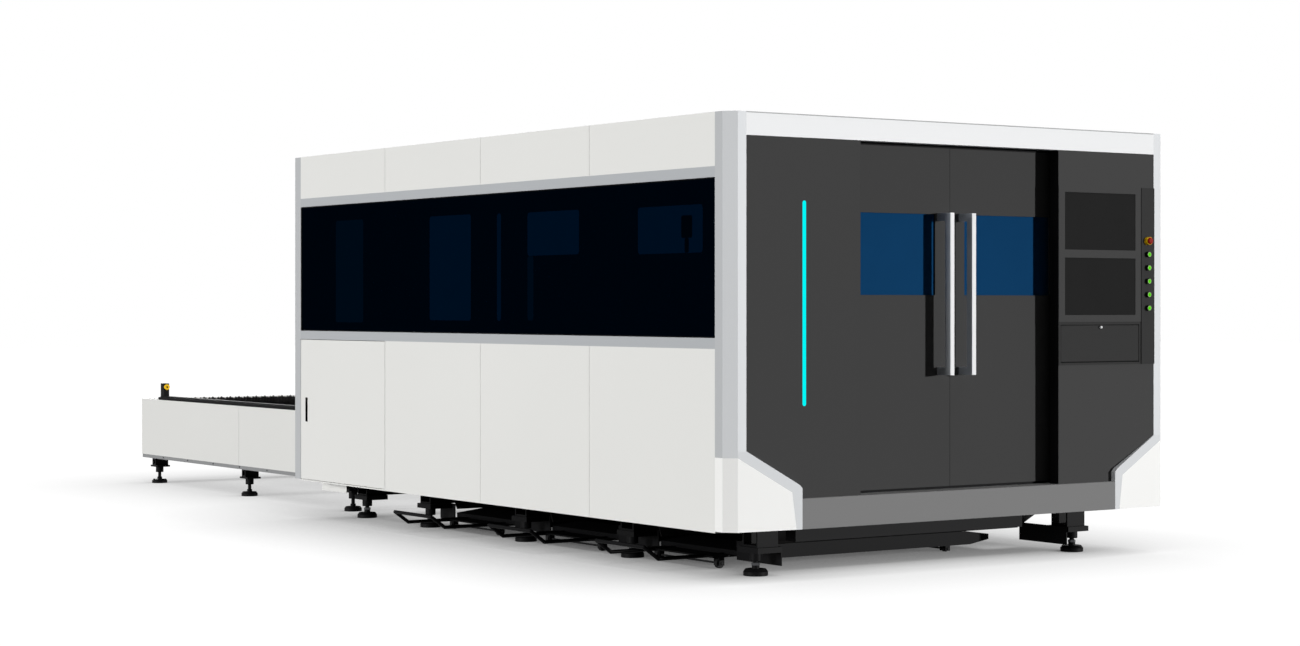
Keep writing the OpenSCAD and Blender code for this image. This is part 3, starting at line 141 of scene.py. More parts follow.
# The camera stands level; the small shift puts the horizon where the picture has it.
PICTURE_W = 1300
FOCAL_PIXELS = 2480.0
HORIZON_RISE = 16.56
CAMERA_PLACE = (-8.2004, -13.2295, 1.2932)
CAMERA_TURN = math.radians(-34.406)
lens = bpy.data.cameras.new("camera")
lens.sensor_width = 36.0
lens.lens = FOCAL_PIXELS / PICTURE_W * lens.sensor_width
lens.shift_y = -HORIZON_RISE / PICTURE_W
lens.clip_end = 300.0
camera = bpy.data.objects.new("camera", lens)
camera.location = CAMERA_PLACE
camera.rotation_euler = (math.radians(90), 0.0, CAMERA_TURN)
bpy.context.scene.collection.objects.link(camera)
bpy.context.scene.camera = camera
bpy.context.scene.view_settings.view_transform = "Standard"


# Bed, legs and base.
# Welded square tube in black powder coat, which the whole machine shares: a fine orange-peel grain
# with a little drift in its tone. The sloping scrap chutes between the legs are bare steel sheet.
coat = bpy.data.node_groups.new("powder_coat", "ShaderNodeTree")
coat.interface.new_socket("Colour", in_out="INPUT", socket_type="NodeSocketColor")
coat.interface.new_socket("Drift", in_out="INPUT", socket_type="NodeSocketFloat")
coat.interface.new_socket("Colour", in_out="OUTPUT", socket_type="NodeSocketColor")
coat.interface.new_socket("Height", in_out="OUTPUT", socket_type="NodeSocketFloat")
coat_in = coat.nodes.new("NodeGroupInput")
coat_out = coat.nodes.new("NodeGroupOutput")
place = coat.nodes.new("ShaderNodeTexCoord")
cloud = coat.nodes.new("ShaderNodeTexNoise")
cloud.inputs["Scale"].default_value = 0.9
cloud.inputs["Detail"].default_value = 2.0
peel = coat.nodes.new("ShaderNodeTexNoise")
peel.inputs["Scale"].default_value = 420.0
peel.inputs["Detail"].default_value = 1.0
for noise in (cloud, peel):
    coat.links.new(place.outputs["Object"], noise.inputs["Vector"])
centred = coat.nodes.new("ShaderNodeMath")
centred.operation = "SUBTRACT"
centred.inputs[1].default_value = 0.5
coat.links.new(cloud.outputs["Fac"], centred.inputs[0])
spread = coat.nodes.new("ShaderNodeMath")
spread.operation = "MULTIPLY_ADD"
spread.inputs[2].default_value = 1.0
coat.links.new(centred.outputs["Value"], spread.inputs[0])
coat.links.new(coat_in.outputs["Drift"], spread.inputs[1])
shade = coat.nodes.new("ShaderNodeHueSaturation")
coat.links.new(coat_in.outputs["Colour"], shade.inputs["Color"])
coat.links.new(spread.outputs["Value"], shade.inputs["Value"])
coat.links.new(shade.outputs["Color"], coat_out.inputs["Colour"])
coat.links.new(peel.outputs["Fac"], coat_out.inputs["Height"])
PEEL_H = 0.0005


def linear(*channels):
    """A colour written as 0 to 255 on a screen, in the linear values that shaders take, by the sRGB curve."""
    values = [c / 255 for c in channels]
    return tuple(v / 12.92 if v <= 0.04045 else ((v + 0.055) / 1.055) ** 2.4 for v in values) + (1.0,)


def painted(name, colour, roughness, specular=0.5, metallic=0.0, drift=0.04, grain=0.03):
    """Powder-coated sheet or tube."""
    material, tree, shader = new_finish(name)
    layer = tree.nodes.new("ShaderNodeGroup")
    layer.node_tree = coat
    layer.inputs["Colour"].default_value = colour
    layer.inputs["Drift"].default_value = drift
    bump = tree.nodes.new("ShaderNodeBump")
    bump.inputs["Strength"].default_value = grain
    bump.inputs["Distance"].default_value = PEEL_H
    tree.links.new(layer.outputs["Colour"], shader.inputs["Base Color"])
    tree.links.new(layer.outputs["Height"], bump.inputs["Height"])
    tree.links.new(bump.outputs["Normal"], shader.inputs["Normal"])
    shader.inputs["Roughness"].default_value = roughness
    shader.inputs["Specular IOR Level"].default_value = specular
    shader.inputs["Metallic"].default_value = metallic
    return material


def dress(finish, *names):
    """Gives solids of the frame a finish."""
    for name in names:
        nodes[name].data.materials.clear()
        nodes[name].data.materials.append(finish)


# The bed and the feet get a darker copy of the black coat: painted shade, for where they stand under the
# machine.
shaded_bed_black = painted("shaded_bed_black", linear(10, 10, 11), roughness=0.55, specular=0.06)
dress(shaded_bed_black, "bed_frame", "levelling_feet")

# Metal left bare has fine grinding marks that run along the piece, and gloss that varies with handling.
grind = bpy.data.node_groups.new("ground_metal", "ShaderNodeTree")
grind.interface.new_socket("Colour", in_out="INPUT", socket_type="NodeSocketColor")
grind.interface.new_socket("Marks", in_out="INPUT", socket_type="NodeSocketVector")
grind.interface.new_socket("Roughness", in_out="INPUT", socket_type="NodeSocketFloat")
grind.interface.new_socket("Colour", in_out="OUTPUT", socket_type="NodeSocketColor")
grind.interface.new_socket("Roughness", in_out="OUTPUT", socket_type="NodeSocketFloat")
grind.interface.new_socket("Height", in_out="OUTPUT", socket_type="NodeSocketFloat")
grind_in = grind.nodes.new("NodeGroupInput")
grind_out = grind.nodes.new("NodeGroupOutput")
place = grind.nodes.new("ShaderNodeTexCoord")
drawn = grind.nodes.new("ShaderNodeVectorMath")
drawn.operation = "MULTIPLY"
grind.links.new(place.outputs["Object"], drawn.inputs[0])
grind.links.new(grind_in.outputs["Marks"], drawn.inputs[1])
marks = grind.nodes.new("ShaderNodeTexNoise")
marks.inputs["Scale"].default_value = 1.0
marks.inputs["Detail"].default_value = 3.0
grind.links.new(drawn.outputs["Vector"], marks.inputs["Vector"])
handling = grind.nodes.new("ShaderNodeTexNoise")
handling.inputs["Scale"].default_value = 7.0
handling.inputs["Detail"].default_value = 3.0
grind.links.new(place.outputs["Object"], handling.inputs["Vector"])
tone = grind.nodes.new("ShaderNodeMapRange")
tone.inputs["To Min"].default_value = 0.9
tone.inputs["To Max"].default_value = 1.1
grind.links.new(marks.outputs["Fac"], tone.inputs["Value"])
shade = grind.nodes.new("ShaderNodeHueSaturation")
grind.links.new(grind_in.outputs["Colour"], shade.inputs["Color"])
grind.links.new(tone.outputs["Result"], shade.inputs["Value"])
gloss = grind.nodes.new("ShaderNodeMapRange")
gloss.inputs["To Min"].default_value = -0.08
gloss.inputs["To Max"].default_value = 0.08
grind.links.new(handling.outputs["Fac"], gloss.inputs["Value"])
rough = grind.nodes.new("ShaderNodeMath")
rough.operation = "ADD"
rough.use_clamp = True
grind.links.new(gloss.outputs["Result"], rough.inputs[0])
grind.links.new(grind_in.outputs["Roughness"], rough.inputs[1])
grind.links.new(shade.outputs["Color"], grind_out.inputs["Colour"])
grind.links.new(rough.outputs["Value"], grind_out.inputs["Roughness"])
grind.links.new(marks.outputs["Fac"], grind_out.inputs["Height"])
MARK_LONG, MARK_FINE, MARK_H = 6.0, 700.0, 0.0003
ALONG_X = (MARK_LONG, MARK_FINE, MARK_FINE)
ALONG_Y = (MARK_FINE, MARK_LONG, MARK_FINE)
ALONG_Z = (MARK_FINE, MARK_FINE, MARK_LONG)


def ground(name, colour, roughness, along, metallic=0.9, specular=0.5, depth=0.04):
    """Bare or anodised metal with its marks drawn out along one direction."""
    material, tree, shader = new_finish(name)
    layer = tree.nodes.new("ShaderNodeGroup")
    layer.node_tree = grind
    layer.inputs["Colour"].default_value = colour
    layer.inputs["Marks"].default_value = along
    layer.inputs["Roughness"].default_value = roughness
    bump = tree.nodes.new("ShaderNodeBump")
    bump.inputs["Strength"].default_value = depth
    bump.inputs["Distance"].default_value = MARK_H
    tree.links.new(layer.outputs["Colour"], shader.inputs["Base Color"])
    tree.links.new(layer.outputs["Roughness"], shader.inputs["Roughness"])
    tree.links.new(layer.outputs["Height"], bump.inputs["Height"])
    tree.links.new(bump.outputs["Normal"], shader.inputs["Normal"])
    shader.inputs["Metallic"].default_value = metallic
    shader.inputs["Specular IOR Level"].default_value = specular
    return material


sooty_sheet = ground("sooty_sheet", linear(30, 29, 29), roughness=0.6, along=ALONG_X,
                     metallic=0.4, specular=0.2)
dress(sooty_sheet, "scrap_chutes")

# Lock nuts on the levelling screws, just over the pads' collars: hexagons with a turned-off top.
LEG_Y = (0.312, 1.370, 2.420, 3.489, 4.277)
FRONT_Y = -3.989
FOOT_X = 1.0425
NUT_Z, NUT_ACROSS, NUT_H = 0.049, 0.036, 0.012
NUT_CORNER = NUT_ACROSS / math.sqrt(3)
TOP_FOOT, TOP_RIM, TOP_H = 0.48 * NUT_ACROSS, 0.4 * NUT_ACROSS, NUT_H / 5
nut_steel = ground("nut_steel", linear(70, 71, 73), roughness=0.4, along=ALONG_Z, metallic=0.7)
bm = bmesh.new()
for sign in (-1, 1):
    for y in LEG_Y:
        nut = Vector((sign * FOOT_X, FRONT_Y + y, NUT_Z + NUT_H / 2))
        bmesh.ops.create_cone(bm, cap_ends=True, segments=6, radius1=NUT_CORNER, radius2=NUT_CORNER,
                              depth=NUT_H, matrix=Matrix.Translation(nut))
        top = Vector((nut.x, nut.y, NUT_Z + NUT_H + TOP_H / 2))
        bmesh.ops.create_cone(bm, cap_ends=True, segments=16, radius1=TOP_FOOT, radius2=TOP_RIM, depth=TOP_H,
                              matrix=Matrix.Translation(top))
keep_piece("lock_nuts", bm, nut_steel, "machine")


# Cabin panels and posts.
# Folded steel pans in warm white powder coat, hung between grey posts. The posts and the bands over and
# under the windows have a silver-grey coat with a little metal flake in it.
casing_white = painted("casing_white", linear(229, 229, 226), roughness=0.55, specular=0.2)
fascia_white = painted("fascia_white", linear(236, 237, 238), roughness=0.5, specular=0.2)
corner_white = painted("corner_white", linear(244, 244, 242), roughness=0.5, specular=0.2)
silver_coat = painted("silver_coat", linear(180, 182, 184), roughness=0.53, specular=0.28, metallic=0.12)
band_silver = painted("band_silver", linear(172, 175, 178), roughness=0.55, specular=0.3, metallic=0.12)
dress(casing_white, "side_panels", "roof_panels", "rear_wall", "service_door", "base_rails")
dress(fascia_white, "front_fascia")
dress(corner_white, "bumper_corners")
dress(silver_coat, "corner_posts")
dress(band_silver, "window_bands")


def thicken(bm, faces, way):
    """Gives flat faces a thickness in one direction and points all faces outwards."""
    grown = bmesh.ops.extrude_face_region(bm, geom=faces)["geom"]
    bmesh.ops.translate(bm, vec=way, verts=[v for v in grown if isinstance(v, bmesh.types.BMVert)])
    bmesh.ops.recalc_face_normals(bm, faces=bm.faces[:])


# Lighter strips on the bevels of the front posts: a brighter copy of the posts' silver coat, as a painted
# highlight.
bevel_highlight = painted("bevel_highlight", linear(206, 208, 210), roughness=0.53, specular=0.28, metallic=0.12)
POST_BEVEL, HIGHLIGHT_LOW, HIGHLIGHT_T = 0.051, 0.59, 0.0004
post_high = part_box("corner_posts")[1]
bm = bmesh.new()
for sign in (-1, 1):
    out = Vector((sign, -1.0, 0.0)).normalized() * HIGHLIGHT_T
    side_edge = Vector((sign * post_high.x, FRONT_Y + POST_BEVEL, 0.0))
    front_edge = Vector((sign * (post_high.x - POST_BEVEL), FRONT_Y, 0.0))
    corners = [bm.verts.new(edge + Vector((0.0, 0.0, z)))
               for edge, z in ((side_edge, HIGHLIGHT_LOW), (front_edge, HIGHLIGHT_LOW), (front_edge, post_high.z),
                               (side_edge, post_high.z))]
    thicken(bm, [bm.faces.new(corners)], out)
keep_piece("post_bevel_highlights", bm, bevel_highlight, "machine")


# Side windows.
# One long laser-proof pane on each side, nearly black, in a rubber channel. Viewing fields and the joints
# between the panes show in it as faint blue shapes: painted light, on thin plates on the glass, for the lit
# openings beyond it.
haze = bpy.data.node_groups.new("wiped_surface", "ShaderNodeTree")
haze.interface.new_socket("Colour", in_out="INPUT", socket_type="NodeSocketColor")
haze.interface.new_socket("Roughness", in_out="INPUT", socket_type="NodeSocketFloat")
haze.interface.new_socket("Colour", in_out="OUTPUT", socket_type="NodeSocketColor")
haze.interface.new_socket("Roughness", in_out="OUTPUT", socket_type="NodeSocketFloat")
haze_in = haze.nodes.new("NodeGroupInput")
haze_out = haze.nodes.new("NodeGroupOutput")
place = haze.nodes.new("ShaderNodeTexCoord")
wipes = haze.nodes.new("ShaderNodeTexNoise")
wipes.inputs["Scale"].default_value = 5.0
wipes.inputs["Detail"].default_value = 5.0
wipes.inputs["Distortion"].default_value = 0.8
haze.links.new(place.outputs["Object"], wipes.inputs["Vector"])
film = haze.nodes.new("ShaderNodeMapRange")
film.inputs["To Min"].default_value = 0.94
film.inputs["To Max"].default_value = 1.06
haze.links.new(wipes.outputs["Fac"], film.inputs["Value"])
shade = haze.nodes.new("ShaderNodeHueSaturation")
haze.links.new(haze_in.outputs["Colour"], shade.inputs["Color"])
haze.links.new(film.outputs["Result"], shade.inputs["Value"])
blur = haze.nodes.new("ShaderNodeMath")
blur.operation = "MULTIPLY"
haze.links.new(film.outputs["Result"], blur.inputs[0])
haze.links.new(haze_in.outputs["Roughness"], blur.inputs[1])
haze.links.new(shade.outputs["Color"], haze_out.inputs["Colour"])
haze.links.new(blur.outputs["Value"], haze_out.inputs["Roughness"])


def wiped(name, colour, roughness, specular=0.5, alpha=1.0):
    """Smooth glass or moulded plastic, with the faint cloudiness that wiping leaves."""
    material, tree, shader = new_finish(name)
    layer = tree.nodes.new("ShaderNodeGroup")
    layer.node_tree = haze
    layer.inputs["Colour"].default_value = colour
    layer.inputs["Roughness"].default_value = roughness
    tree.links.new(layer.outputs["Colour"], shader.inputs["Base Color"])
    tree.links.new(layer.outputs["Roughness"], shader.inputs["Roughness"])
    shader.inputs["Specular IOR Level"].default_value = specular
    shader.inputs["Alpha"].default_value = alpha
    return material


side_pane = wiped("side_pane", (0.0, 0.0012, 0.0035, 1.0), roughness=0.1, specular=0.0, alpha=0.96)
dress(side_pane, "side_windows")
# Painted light: the faint blue of lit openings seen through the pane.
painted_view_light = wiped("painted_view_light", linear(0, 14, 31), roughness=0.4, specular=0.0)
painted_dim_light = wiped("painted_dim_light", linear(0, 10, 22), roughness=0.4, specular=0.0)
rubber = painted("rubber", linear(5, 5, 6), roughness=0.8, specular=0.05, grain=0.1)


def on_side(across, depth, up):
    """Where a point of a piece lies that faces the left or right side."""
    return Vector((depth, across, up))


def rounded_plate(bm, span, rise, radius, near, far, to_place):
    """Adds a plate with rounded corners that faces the front or a side."""
    made = bmesh.ops.create_grid(bm, x_segments=1, y_segments=1, size=0.5)["verts"]
    for v in made:
        v.co = to_place(span[v.co.x > 0], near, rise[v.co.y > 0])
    rounded = bmesh.ops.bevel(bm, geom=made, offset=radius, offset_type="OFFSET", affect="VERTICES",
                              segments=5, profile=0.5, material=-1)
    faces = {f for v in rounded["verts"] for f in v.link_faces}
    face = max(faces, key=lambda f: f.calc_area())
    thicken(bm, [face], to_place(0.0, far - near, 0.0))


def frame_plate(bm, spans, rises, near, far, to_place):
    """Adds a flat rectangular frame: `spans` and `rises` give its outer and inner edges in order."""
    made = bmesh.ops.create_grid(bm, x_segments=3, y_segments=3, size=0.5)["verts"]
    faces = {f for v in made for f in v.link_faces}
    middle = min(faces, key=lambda f: f.calc_center_median().length)
    for v in made:
        v.co = to_place(spans[round((v.co.x + 0.5) * 3)], near, rises[round((v.co.y + 0.5) * 3)])
    bmesh.ops.delete(bm, geom=[middle], context="FACES_ONLY")
    thicken(bm, [f for f in faces if f is not middle], to_place(0.0, far - near, 0.0))


FIELD_T, FIELD_ROUND = 0.0003, 0.018
pane_low, pane_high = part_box("side_windows")
VIEW_FIELDS = ((2.371, 2.824, 1.217, 1.792), (2.055, 2.096, 1.217, 1.787), (1.291, 1.787, 1.557, 1.782),
               (0.219, 0.760, 1.547, 1.774))
DIM_FIELDS = ((1.728, 1.787, 1.220, 1.556), (3.610, 3.955, 1.200, 1.800))
for name, fields, finish in (("view_fields", VIEW_FIELDS, painted_view_light), ("dim_fields", DIM_FIELDS, painted_dim_light)):
    bm = bmesh.new()
    for outer in (pane_low.x, pane_high.x):
        beyond = outer + math.copysign(FIELD_T, outer)
        for start, end, low, high in fields:
            rounded_plate(bm, (FRONT_Y + start, FRONT_Y + end), (low, high), FIELD_ROUND, outer, beyond,
                          on_side)
    keep_piece(name, bm, finish, "machine")

# Painted shade: the dark outline of a cutting head stands in the front field.
head_shadow = wiped("head_shadow", (0.0, 0.0009, 0.0026, 1.0), roughness=0.4, specular=0.0)
SHADOW_ROUND = 0.01
SHADOW_SHAPES = ((0.304, 0.394, 1.618, 1.725), (0.332, 0.366, 1.548, 1.618))
bm = bmesh.new()
for outer in (pane_low.x, pane_high.x):
    field_face = outer + math.copysign(FIELD_T, outer)
    beyond = outer + math.copysign(2 * FIELD_T, outer)
    for start, end, low, high in SHADOW_SHAPES:
        rounded_plate(bm, (FRONT_Y + start, FRONT_Y + end), (low, high), SHADOW_ROUND, field_face, beyond,
                      on_side)
keep_piece("head_shadows", bm, head_shadow, "machine")

# The rubber channel round each pane.
CHANNEL_W, CHANNEL_T = 0.006, 0.003
bm = bmesh.new()
for outer in (pane_low.x, pane_high.x):
    beyond = outer + math.copysign(CHANNEL_T, outer)
    frame_plate(bm, (pane_low.y, pane_low.y + CHANNEL_W, pane_high.y - CHANNEL_W, pane_high.y),
                (pane_low.z, pane_low.z + CHANNEL_W, pane_high.z - CHANNEL_W, pane_high.z),
                outer, beyond, on_side)
keep_piece("pane_channels", bm, rubber, "machine")


# Front panels, light strip and sill.
# Fine matt charcoal panels on both sides of the doorway, a lit acrylic strip let into the left one, and
# a mid-grey folded sill that runs across the foot.
charcoal = painted("charcoal", linear(65, 65, 65), roughness=0.7, specular=0.03)
charcoal_console = painted("charcoal_console", linear(69, 69, 69), roughness=0.7, specular=0.03)
dress(charcoal, "front_left_panel")
dress(charcoal_console, "console_panel")

lit_strip, tree, shader = new_finish("lit_strip")
shader.inputs["Base Color"].default_value = (0.0, 0.0, 0.0, 1.0)
shader.inputs["Emission Strength"].default_value = 1.0
shader.inputs["Specular IOR Level"].default_value = 0.0
lamp_place = tree.nodes.new("ShaderNodeTexCoord")
lamp_glow = tree.nodes.new("ShaderNodeTexNoise")
lamp_glow.inputs["Scale"].default_value = 3.0
lamp_tone = tree.nodes.new("ShaderNodeMix")
lamp_tone.data_type = "RGBA"
lamp_tone.inputs["A"].default_value = linear(1, 246, 246)
lamp_tone.inputs["B"].default_value = linear(1, 250, 250)
tree.links.new(lamp_place.outputs["Object"], lamp_glow.inputs["Vector"])
tree.links.new(lamp_glow.outputs["Fac"], lamp_tone.inputs["Factor"])
tree.links.new(lamp_tone.outputs["Result"], shader.inputs["Emission Color"])
dress(lit_strip, "led_strip")


def on_front(across, depth, up):
    """Where a point of a piece lies that faces the front."""
    return Vector((across, depth, up))


# A grey line along the fascia's top edge, under the roof, is painted shade on its fold.
fold_shade_grey = painted("fold_shade_grey", linear(176, 177, 178), roughness=0.6, specular=0.05)
FOLD_SHADE_H, FOLD_SHADE_T, FOLD_SHADE_ROUND = 0.005, 0.0008, 0.001
fascia_low, fascia_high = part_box("front_fascia")
bm = bmesh.new()
rounded_plate(bm, (fascia_low.x, fascia_high.x), (fascia_high.z - FOLD_SHADE_H, fascia_high.z), FOLD_SHADE_ROUND,
              fascia_low.y, fascia_low.y - FOLD_SHADE_T, on_front)
keep_piece("fascia_fold_shade", bm, fold_shade_grey, "machine")

sill_grey = painted("sill_grey", linear(118, 118, 118), roughness=0.55, specular=0.1)
dress(sill_grey, "sill")


# Front doors.
# Two charcoal leaves that slide on black rails, with a flush blue laser-proof pane each. Tall flat pulls stand
# on them: an anodised bar with a matt white strip along its face, as a painted highlight.
black_coat = painted("black_coat", linear(17, 17, 18), roughness=0.55, specular=0.03)
dress(black_coat, "door_rails")
dress(charcoal, "left_door", "right_door")
door_pane = wiped("door_pane", linear(18, 63, 103), roughness=0.25, specular=0.0, alpha=0.95)
dress(door_pane, "left_door_glass", "right_door_glass")
anodised = ground("anodised", linear(186, 190, 196), roughness=0.5, along=ALONG_Z, metallic=0.1)
face_highlight = ground("face_highlight", linear(247, 247, 248), roughness=0.6, along=ALONG_Z,
                      metallic=0.0, specular=0.0, depth=0.01)
dress(anodised, "left_door_handle", "right_door_handle")
STRIP_T, STRIP_ROUND = 0.0015, 0.0015
# The white strips are a painted highlight on the bars' faces.
for side in ("left", "right"):
    low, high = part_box(f"{side}_door_handle")
    bm = bmesh.new()
    rounded_plate(bm, (low.x, high.x), (low.z, high.z), STRIP_ROUND, low.y, low.y - STRIP_T, on_front)
    keep_piece(f"{side}_handle_highlight", bm, face_highlight, f"{side}_door")


def cuboid(bm, low, high):
    """Adds a box between two corners."""
    low, high = Vector(low), Vector(high)
    size = Matrix.Diagonal((*(high - low), 1.0))
    bmesh.ops.create_cube(bm, size=1.0, matrix=Matrix.Translation((low + high) / 2) @ size)


# Black sheets on the doorway's jambs are painted shade: they keep the jambs dark in the recess.
SHEET_T, SHEET_BACK = 0.001, 0.001
panel_low, panel_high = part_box("front_left_panel")
bm = bmesh.new()
for sign in (-1, 1):
    inner, outer = sorted((sign * abs(panel_high.x), sign * (abs(panel_high.x) - SHEET_T)))
    cuboid(bm, (inner, panel_low.y + SHEET_BACK, panel_low.z), (outer, panel_high.y, panel_high.z))
keep_piece("jamb_shade_sheets", bm, rubber, "machine")


# Console.
# Two dark screens in a flush surround, a raised strip of buttons with bright rings, and a drop-down flap
# with the keyboard on its back, inside a border plate.
charcoal_inner = painted("charcoal_inner", linear(55, 55, 55), roughness=0.7, specular=0.03)
screen_glass = wiped("screen_glass", linear(40, 40, 40), roughness=0.3, specular=0.0)
collar_black = wiped("collar_black", linear(10, 10, 11), roughness=0.6, specular=0.05)
ring_metal = ground("ring_metal", linear(150, 190, 118), roughness=0.5, along=ALONG_X,
                    metallic=0.0, specular=0.02)
knob_metal = ground("knob_metal", linear(232, 233, 234), roughness=0.5, along=ALONG_X,
                    metallic=0.0, specular=0.1)
green_cap = wiped("green_cap", linear(50, 130, 2), roughness=0.6, specular=0.0)
# A faint glow keeps the green caps bright: painted light.
shader = green_cap.node_tree.nodes["Principled BSDF"]
shader.inputs["Emission Color"].default_value = linear(84, 214, 4)
shader.inputs["Emission Strength"].default_value = 0.75
red_cap = wiped("red_cap", linear(136, 24, 14), roughness=0.5, specular=0.05)
yellow_ring = wiped("yellow_ring", linear(238, 190, 16), roughness=0.5, specular=0.08)
key_black = wiped("key_black", linear(13, 13, 14), roughness=0.6, specular=0.05)
BUTTONS = range(1, 6)
dress(charcoal_console, "monitor_surround")
dress(charcoal_inner, "keyboard_flap", "button_strip")
dress(screen_glass, "monitors")
dress(collar_black, "button_collars")
dress(knob_metal, "flap_knob")
dress(yellow_ring, "stop_base")
dress(green_cap, *[f"push_button_{i}" for i in BUTTONS])
dress(red_cap, "emergency_stop")
dress(key_black, "keyboard", "service_door_pull")

flap_low, flap_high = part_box("keyboard_flap")
strip_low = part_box("button_strip")[0]
surround_low, surround_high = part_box("monitor_surround")
PLATE_T, FLAP_PIN, FLAP_GAP = 0.0015, 0.002, 0.003
bm = bmesh.new()
frame_plate(bm, (surround_low.x, flap_low.x + FLAP_PIN, flap_high.x - FLAP_PIN, surround_high.x),
            (strip_low.z, flap_low.z - FLAP_GAP, flap_high.z + FLAP_GAP, surround_low.z),
            flap_low.y, flap_low.y - PLATE_T, on_front)
keep_piece("flap_border", bm, charcoal_inner, "machine")

RING_STEPS = 32


def turned_ring(bm, middle, axis, section):
    """Adds a ring turned on a lathe: `section` has its four corners, as radius and height along `axis`."""
    corners = [bm.verts.new(middle + Vector((radius, 0.0, 0.0)) + axis * height)
               for radius, height in section]
    edges = [bm.edges.new((corners[k], corners[(k + 1) % 4])) for k in range(4)]
    bmesh.ops.spin(bm, geom=corners + edges, cent=middle, axis=axis, angle=math.tau, steps=RING_STEPS,
                   use_merge=True)
    bmesh.ops.remove_doubles(bm, verts=bm.verts[:], dist=1e-6)
    bmesh.ops.recalc_face_normals(bm, faces=bm.faces[:])


def flat_ring(bm, middle, inner, outer, thick):
    """Adds a flat ring that faces the front, its back at `middle`."""
    section = ((inner, 0.0), (outer, 0.0), (outer, -thick), (inner, -thick))
    turned_ring(bm, middle, Vector((0.0, 1.0, 0.0)), section)


# Bright rings round the button caps. The emergency stop's yellow plate gets a black rim, painted shade round
# the cap, and a yellow shroud that its cap slides into.
RING_OUT, RING_IN, RING_T = 0.0128, 0.0091, 0.0006
collar_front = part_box("button_collars")[0].y
bm = bmesh.new()
for i in BUTTONS:
    cap_low, cap_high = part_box(f"push_button_{i}")
    middle = (cap_low + cap_high) / 2
    flat_ring(bm, Vector((middle.x, collar_front, middle.z)), RING_IN, RING_OUT, RING_T)
keep_piece("button_rings", bm, ring_metal, "machine")

SHROUD_IN, SHROUD_OUT, SHROUD_L = 0.0184, 0.0200, 0.0140
plate_low, plate_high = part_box("stop_base")
middle = (plate_low + plate_high) / 2
bm = bmesh.new()
on_plate = Vector((middle.x, plate_low.y, middle.z))
# The black rim is painted shade.
flat_ring(bm, on_plate, SHROUD_OUT, (plate_high.x - plate_low.x) / 2, RING_T)
keep_piece("stop_shade_rim", bm, collar_black, "machine")
bm = bmesh.new()
flat_ring(bm, on_plate, SHROUD_IN, SHROUD_OUT, SHROUD_L)
keep_piece("stop_shroud", bm, yellow_ring, "machine")


# Gantry and cutting head.
# A machined aluminium beam on linear rails, a black carriage plate and a steel head with a copper nozzle.
# The rails are held by rows of cap screws under flush plugs.
rail_steel = ground("rail_steel", linear(150, 152, 155), roughness=0.3, along=ALONG_Y)
machined = ground("machined", linear(178, 180, 184), roughness=0.4, along=ALONG_X, metallic=0.8)
head_steel = ground("head_steel", linear(150, 152, 156), roughness=0.3, along=ALONG_Z)
copper = ground("copper", linear(184, 110, 74), roughness=0.35, along=ALONG_Z, metallic=1.0)
dress(rail_steel, "gantry_rails")
dress(machined, "gantry_beam")
dress(black_coat, "carriage")
dress(head_steel, "cutting_head")

RAIL_X, RAIL_TOP = 1.015, 0.788
PLUG_R, PLUG_T, PLUG_PITCH = 0.006, 0.0002, 0.08
rails_low, rails_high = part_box("gantry_rails")
plug_steel = ground("plug_steel", linear(96, 98, 101), roughness=0.4, along=ALONG_Y, metallic=0.8)
bm = bmesh.new()
for sign in (-1, 1):
    for i in range(int((rails_high.y - rails_low.y) / PLUG_PITCH)):
        spot = Vector((sign * RAIL_X, rails_low.y + (i + 0.5) * PLUG_PITCH, RAIL_TOP + PLUG_T / 2))
        bmesh.ops.create_cone(bm, cap_ends=True, segments=12, radius1=PLUG_R, radius2=PLUG_R, depth=PLUG_T,
                              matrix=Matrix.Translation(spot))
keep_piece("rail_plugs", bm, plug_steel, "machine")

# The nozzle's copper skin is a thin turned cone over the head's lower end.
HEAD_X, HEAD_DEPTH, NOZZLE_Z = -0.650, 0.7524, 0.845
NOZZLE = ((0.0045, -0.0002), (0.0145, 0.0275), (0.0140, 0.0280), (0.0040, 0.0003))
bm = bmesh.new()
turned_ring(bm, Vector((HEAD_X, FRONT_Y + HEAD_DEPTH, NOZZLE_Z)), Vector((0.0, 0.0, 1.0)), NOZZLE)
keep_piece("nozzle_tip", bm, copper, "head")


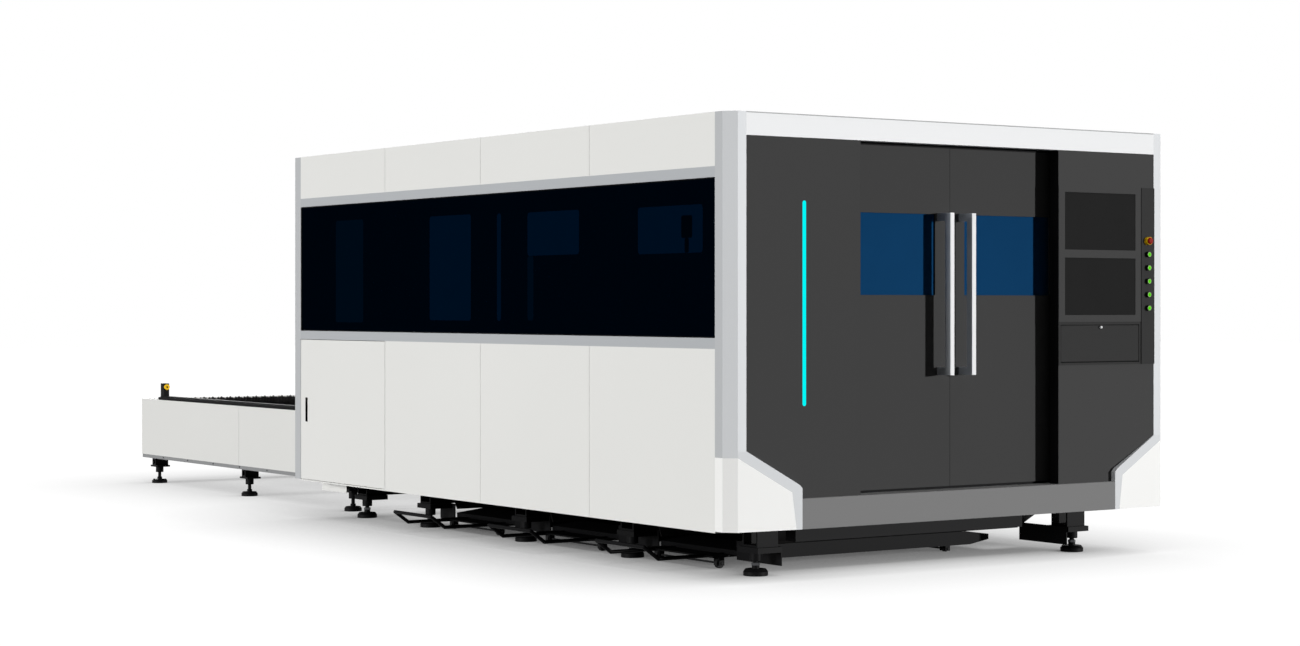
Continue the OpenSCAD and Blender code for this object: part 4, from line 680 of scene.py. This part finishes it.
# Exchange table.
# A grey welded frame behind white panels, with black covers along its top and levelling feet below. A row
# of button screws along the grey lower edge holds the panels.
table_white = painted("table_white", linear(221, 221, 218), roughness=0.55, specular=0.2)
frame_grey = painted("frame_grey", linear(132, 133, 134), roughness=0.5, specular=0.3)
dress(table_white, "table_panels")
dress(frame_grey, "table_frame")
dress(black_coat, "table_rails", "exchange_drive")
dress(shaded_bed_black, "table_feet")
dress(key_black, "light_barriers")
dress(yellow_ring, "barrier_rings")

SCREW_Z, SCREW_R, SCREW_TOP_R, SCREW_OUT = 0.196, 0.007, 0.0042, 0.004
SCREWS, FIRST_SCREW, SCREW_PITCH = 8, 0.38, 0.43
frame_low, frame_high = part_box("table_frame")
bm = bmesh.new()
for face_x in (frame_low.x, frame_high.x):
    out = Vector((math.copysign(1.0, face_x), 0.0, 0.0))
    turn = out.to_track_quat("Z", "Y").to_matrix().to_4x4()
    for i in range(SCREWS):
        along = frame_high.y - FIRST_SCREW - i * SCREW_PITCH
        spot = Vector((face_x, along, SCREW_Z)) + out * (SCREW_OUT / 2)
        bmesh.ops.create_cone(bm, cap_ends=True, segments=16, radius1=SCREW_R, radius2=SCREW_TOP_R,
                              depth=SCREW_OUT, matrix=Matrix.Translation(spot) @ turn)
keep_piece("table_screws", bm, nut_steel, "machine")


# Pallets.
# Black welded frames that carry rows of saw-tooth steel slats, darkened by cutting. The slats stand upright
# on ledges inside the frames' sides, and the frames slide on the table's rails.
slat_steel = ground("slat_steel", linear(15, 14, 14), roughness=0.6, along=ALONG_X,
                    metallic=0.0, specular=0.02)
pallet_black = painted("pallet_black", linear(13, 13, 14), roughness=0.55, specular=0.02)
dress(pallet_black, "upper_pallet_frame", "lower_pallet_frame")
dress(slat_steel, "upper_pallet_slats", "lower_pallet_slats")


# Scrap trolleys.
# Black trays folded from sheet, on rubber wheels, each with a bent loop of round bar to pull it by. They
# roll out under the left side to be emptied.
trolley_black = painted("trolley_black", linear(8, 8, 9), roughness=0.5, specular=0.04)
wheel_rubber = painted("wheel_rubber", linear(14, 14, 15), roughness=0.7, specular=0.2, grain=0.1)
for i in range(1, 4):
    dress(trolley_black, f"trolley_{i}")
    dress(wheel_rubber, f"trolley_{i}_outer_wheels", f"trolley_{i}_inner_wheels")
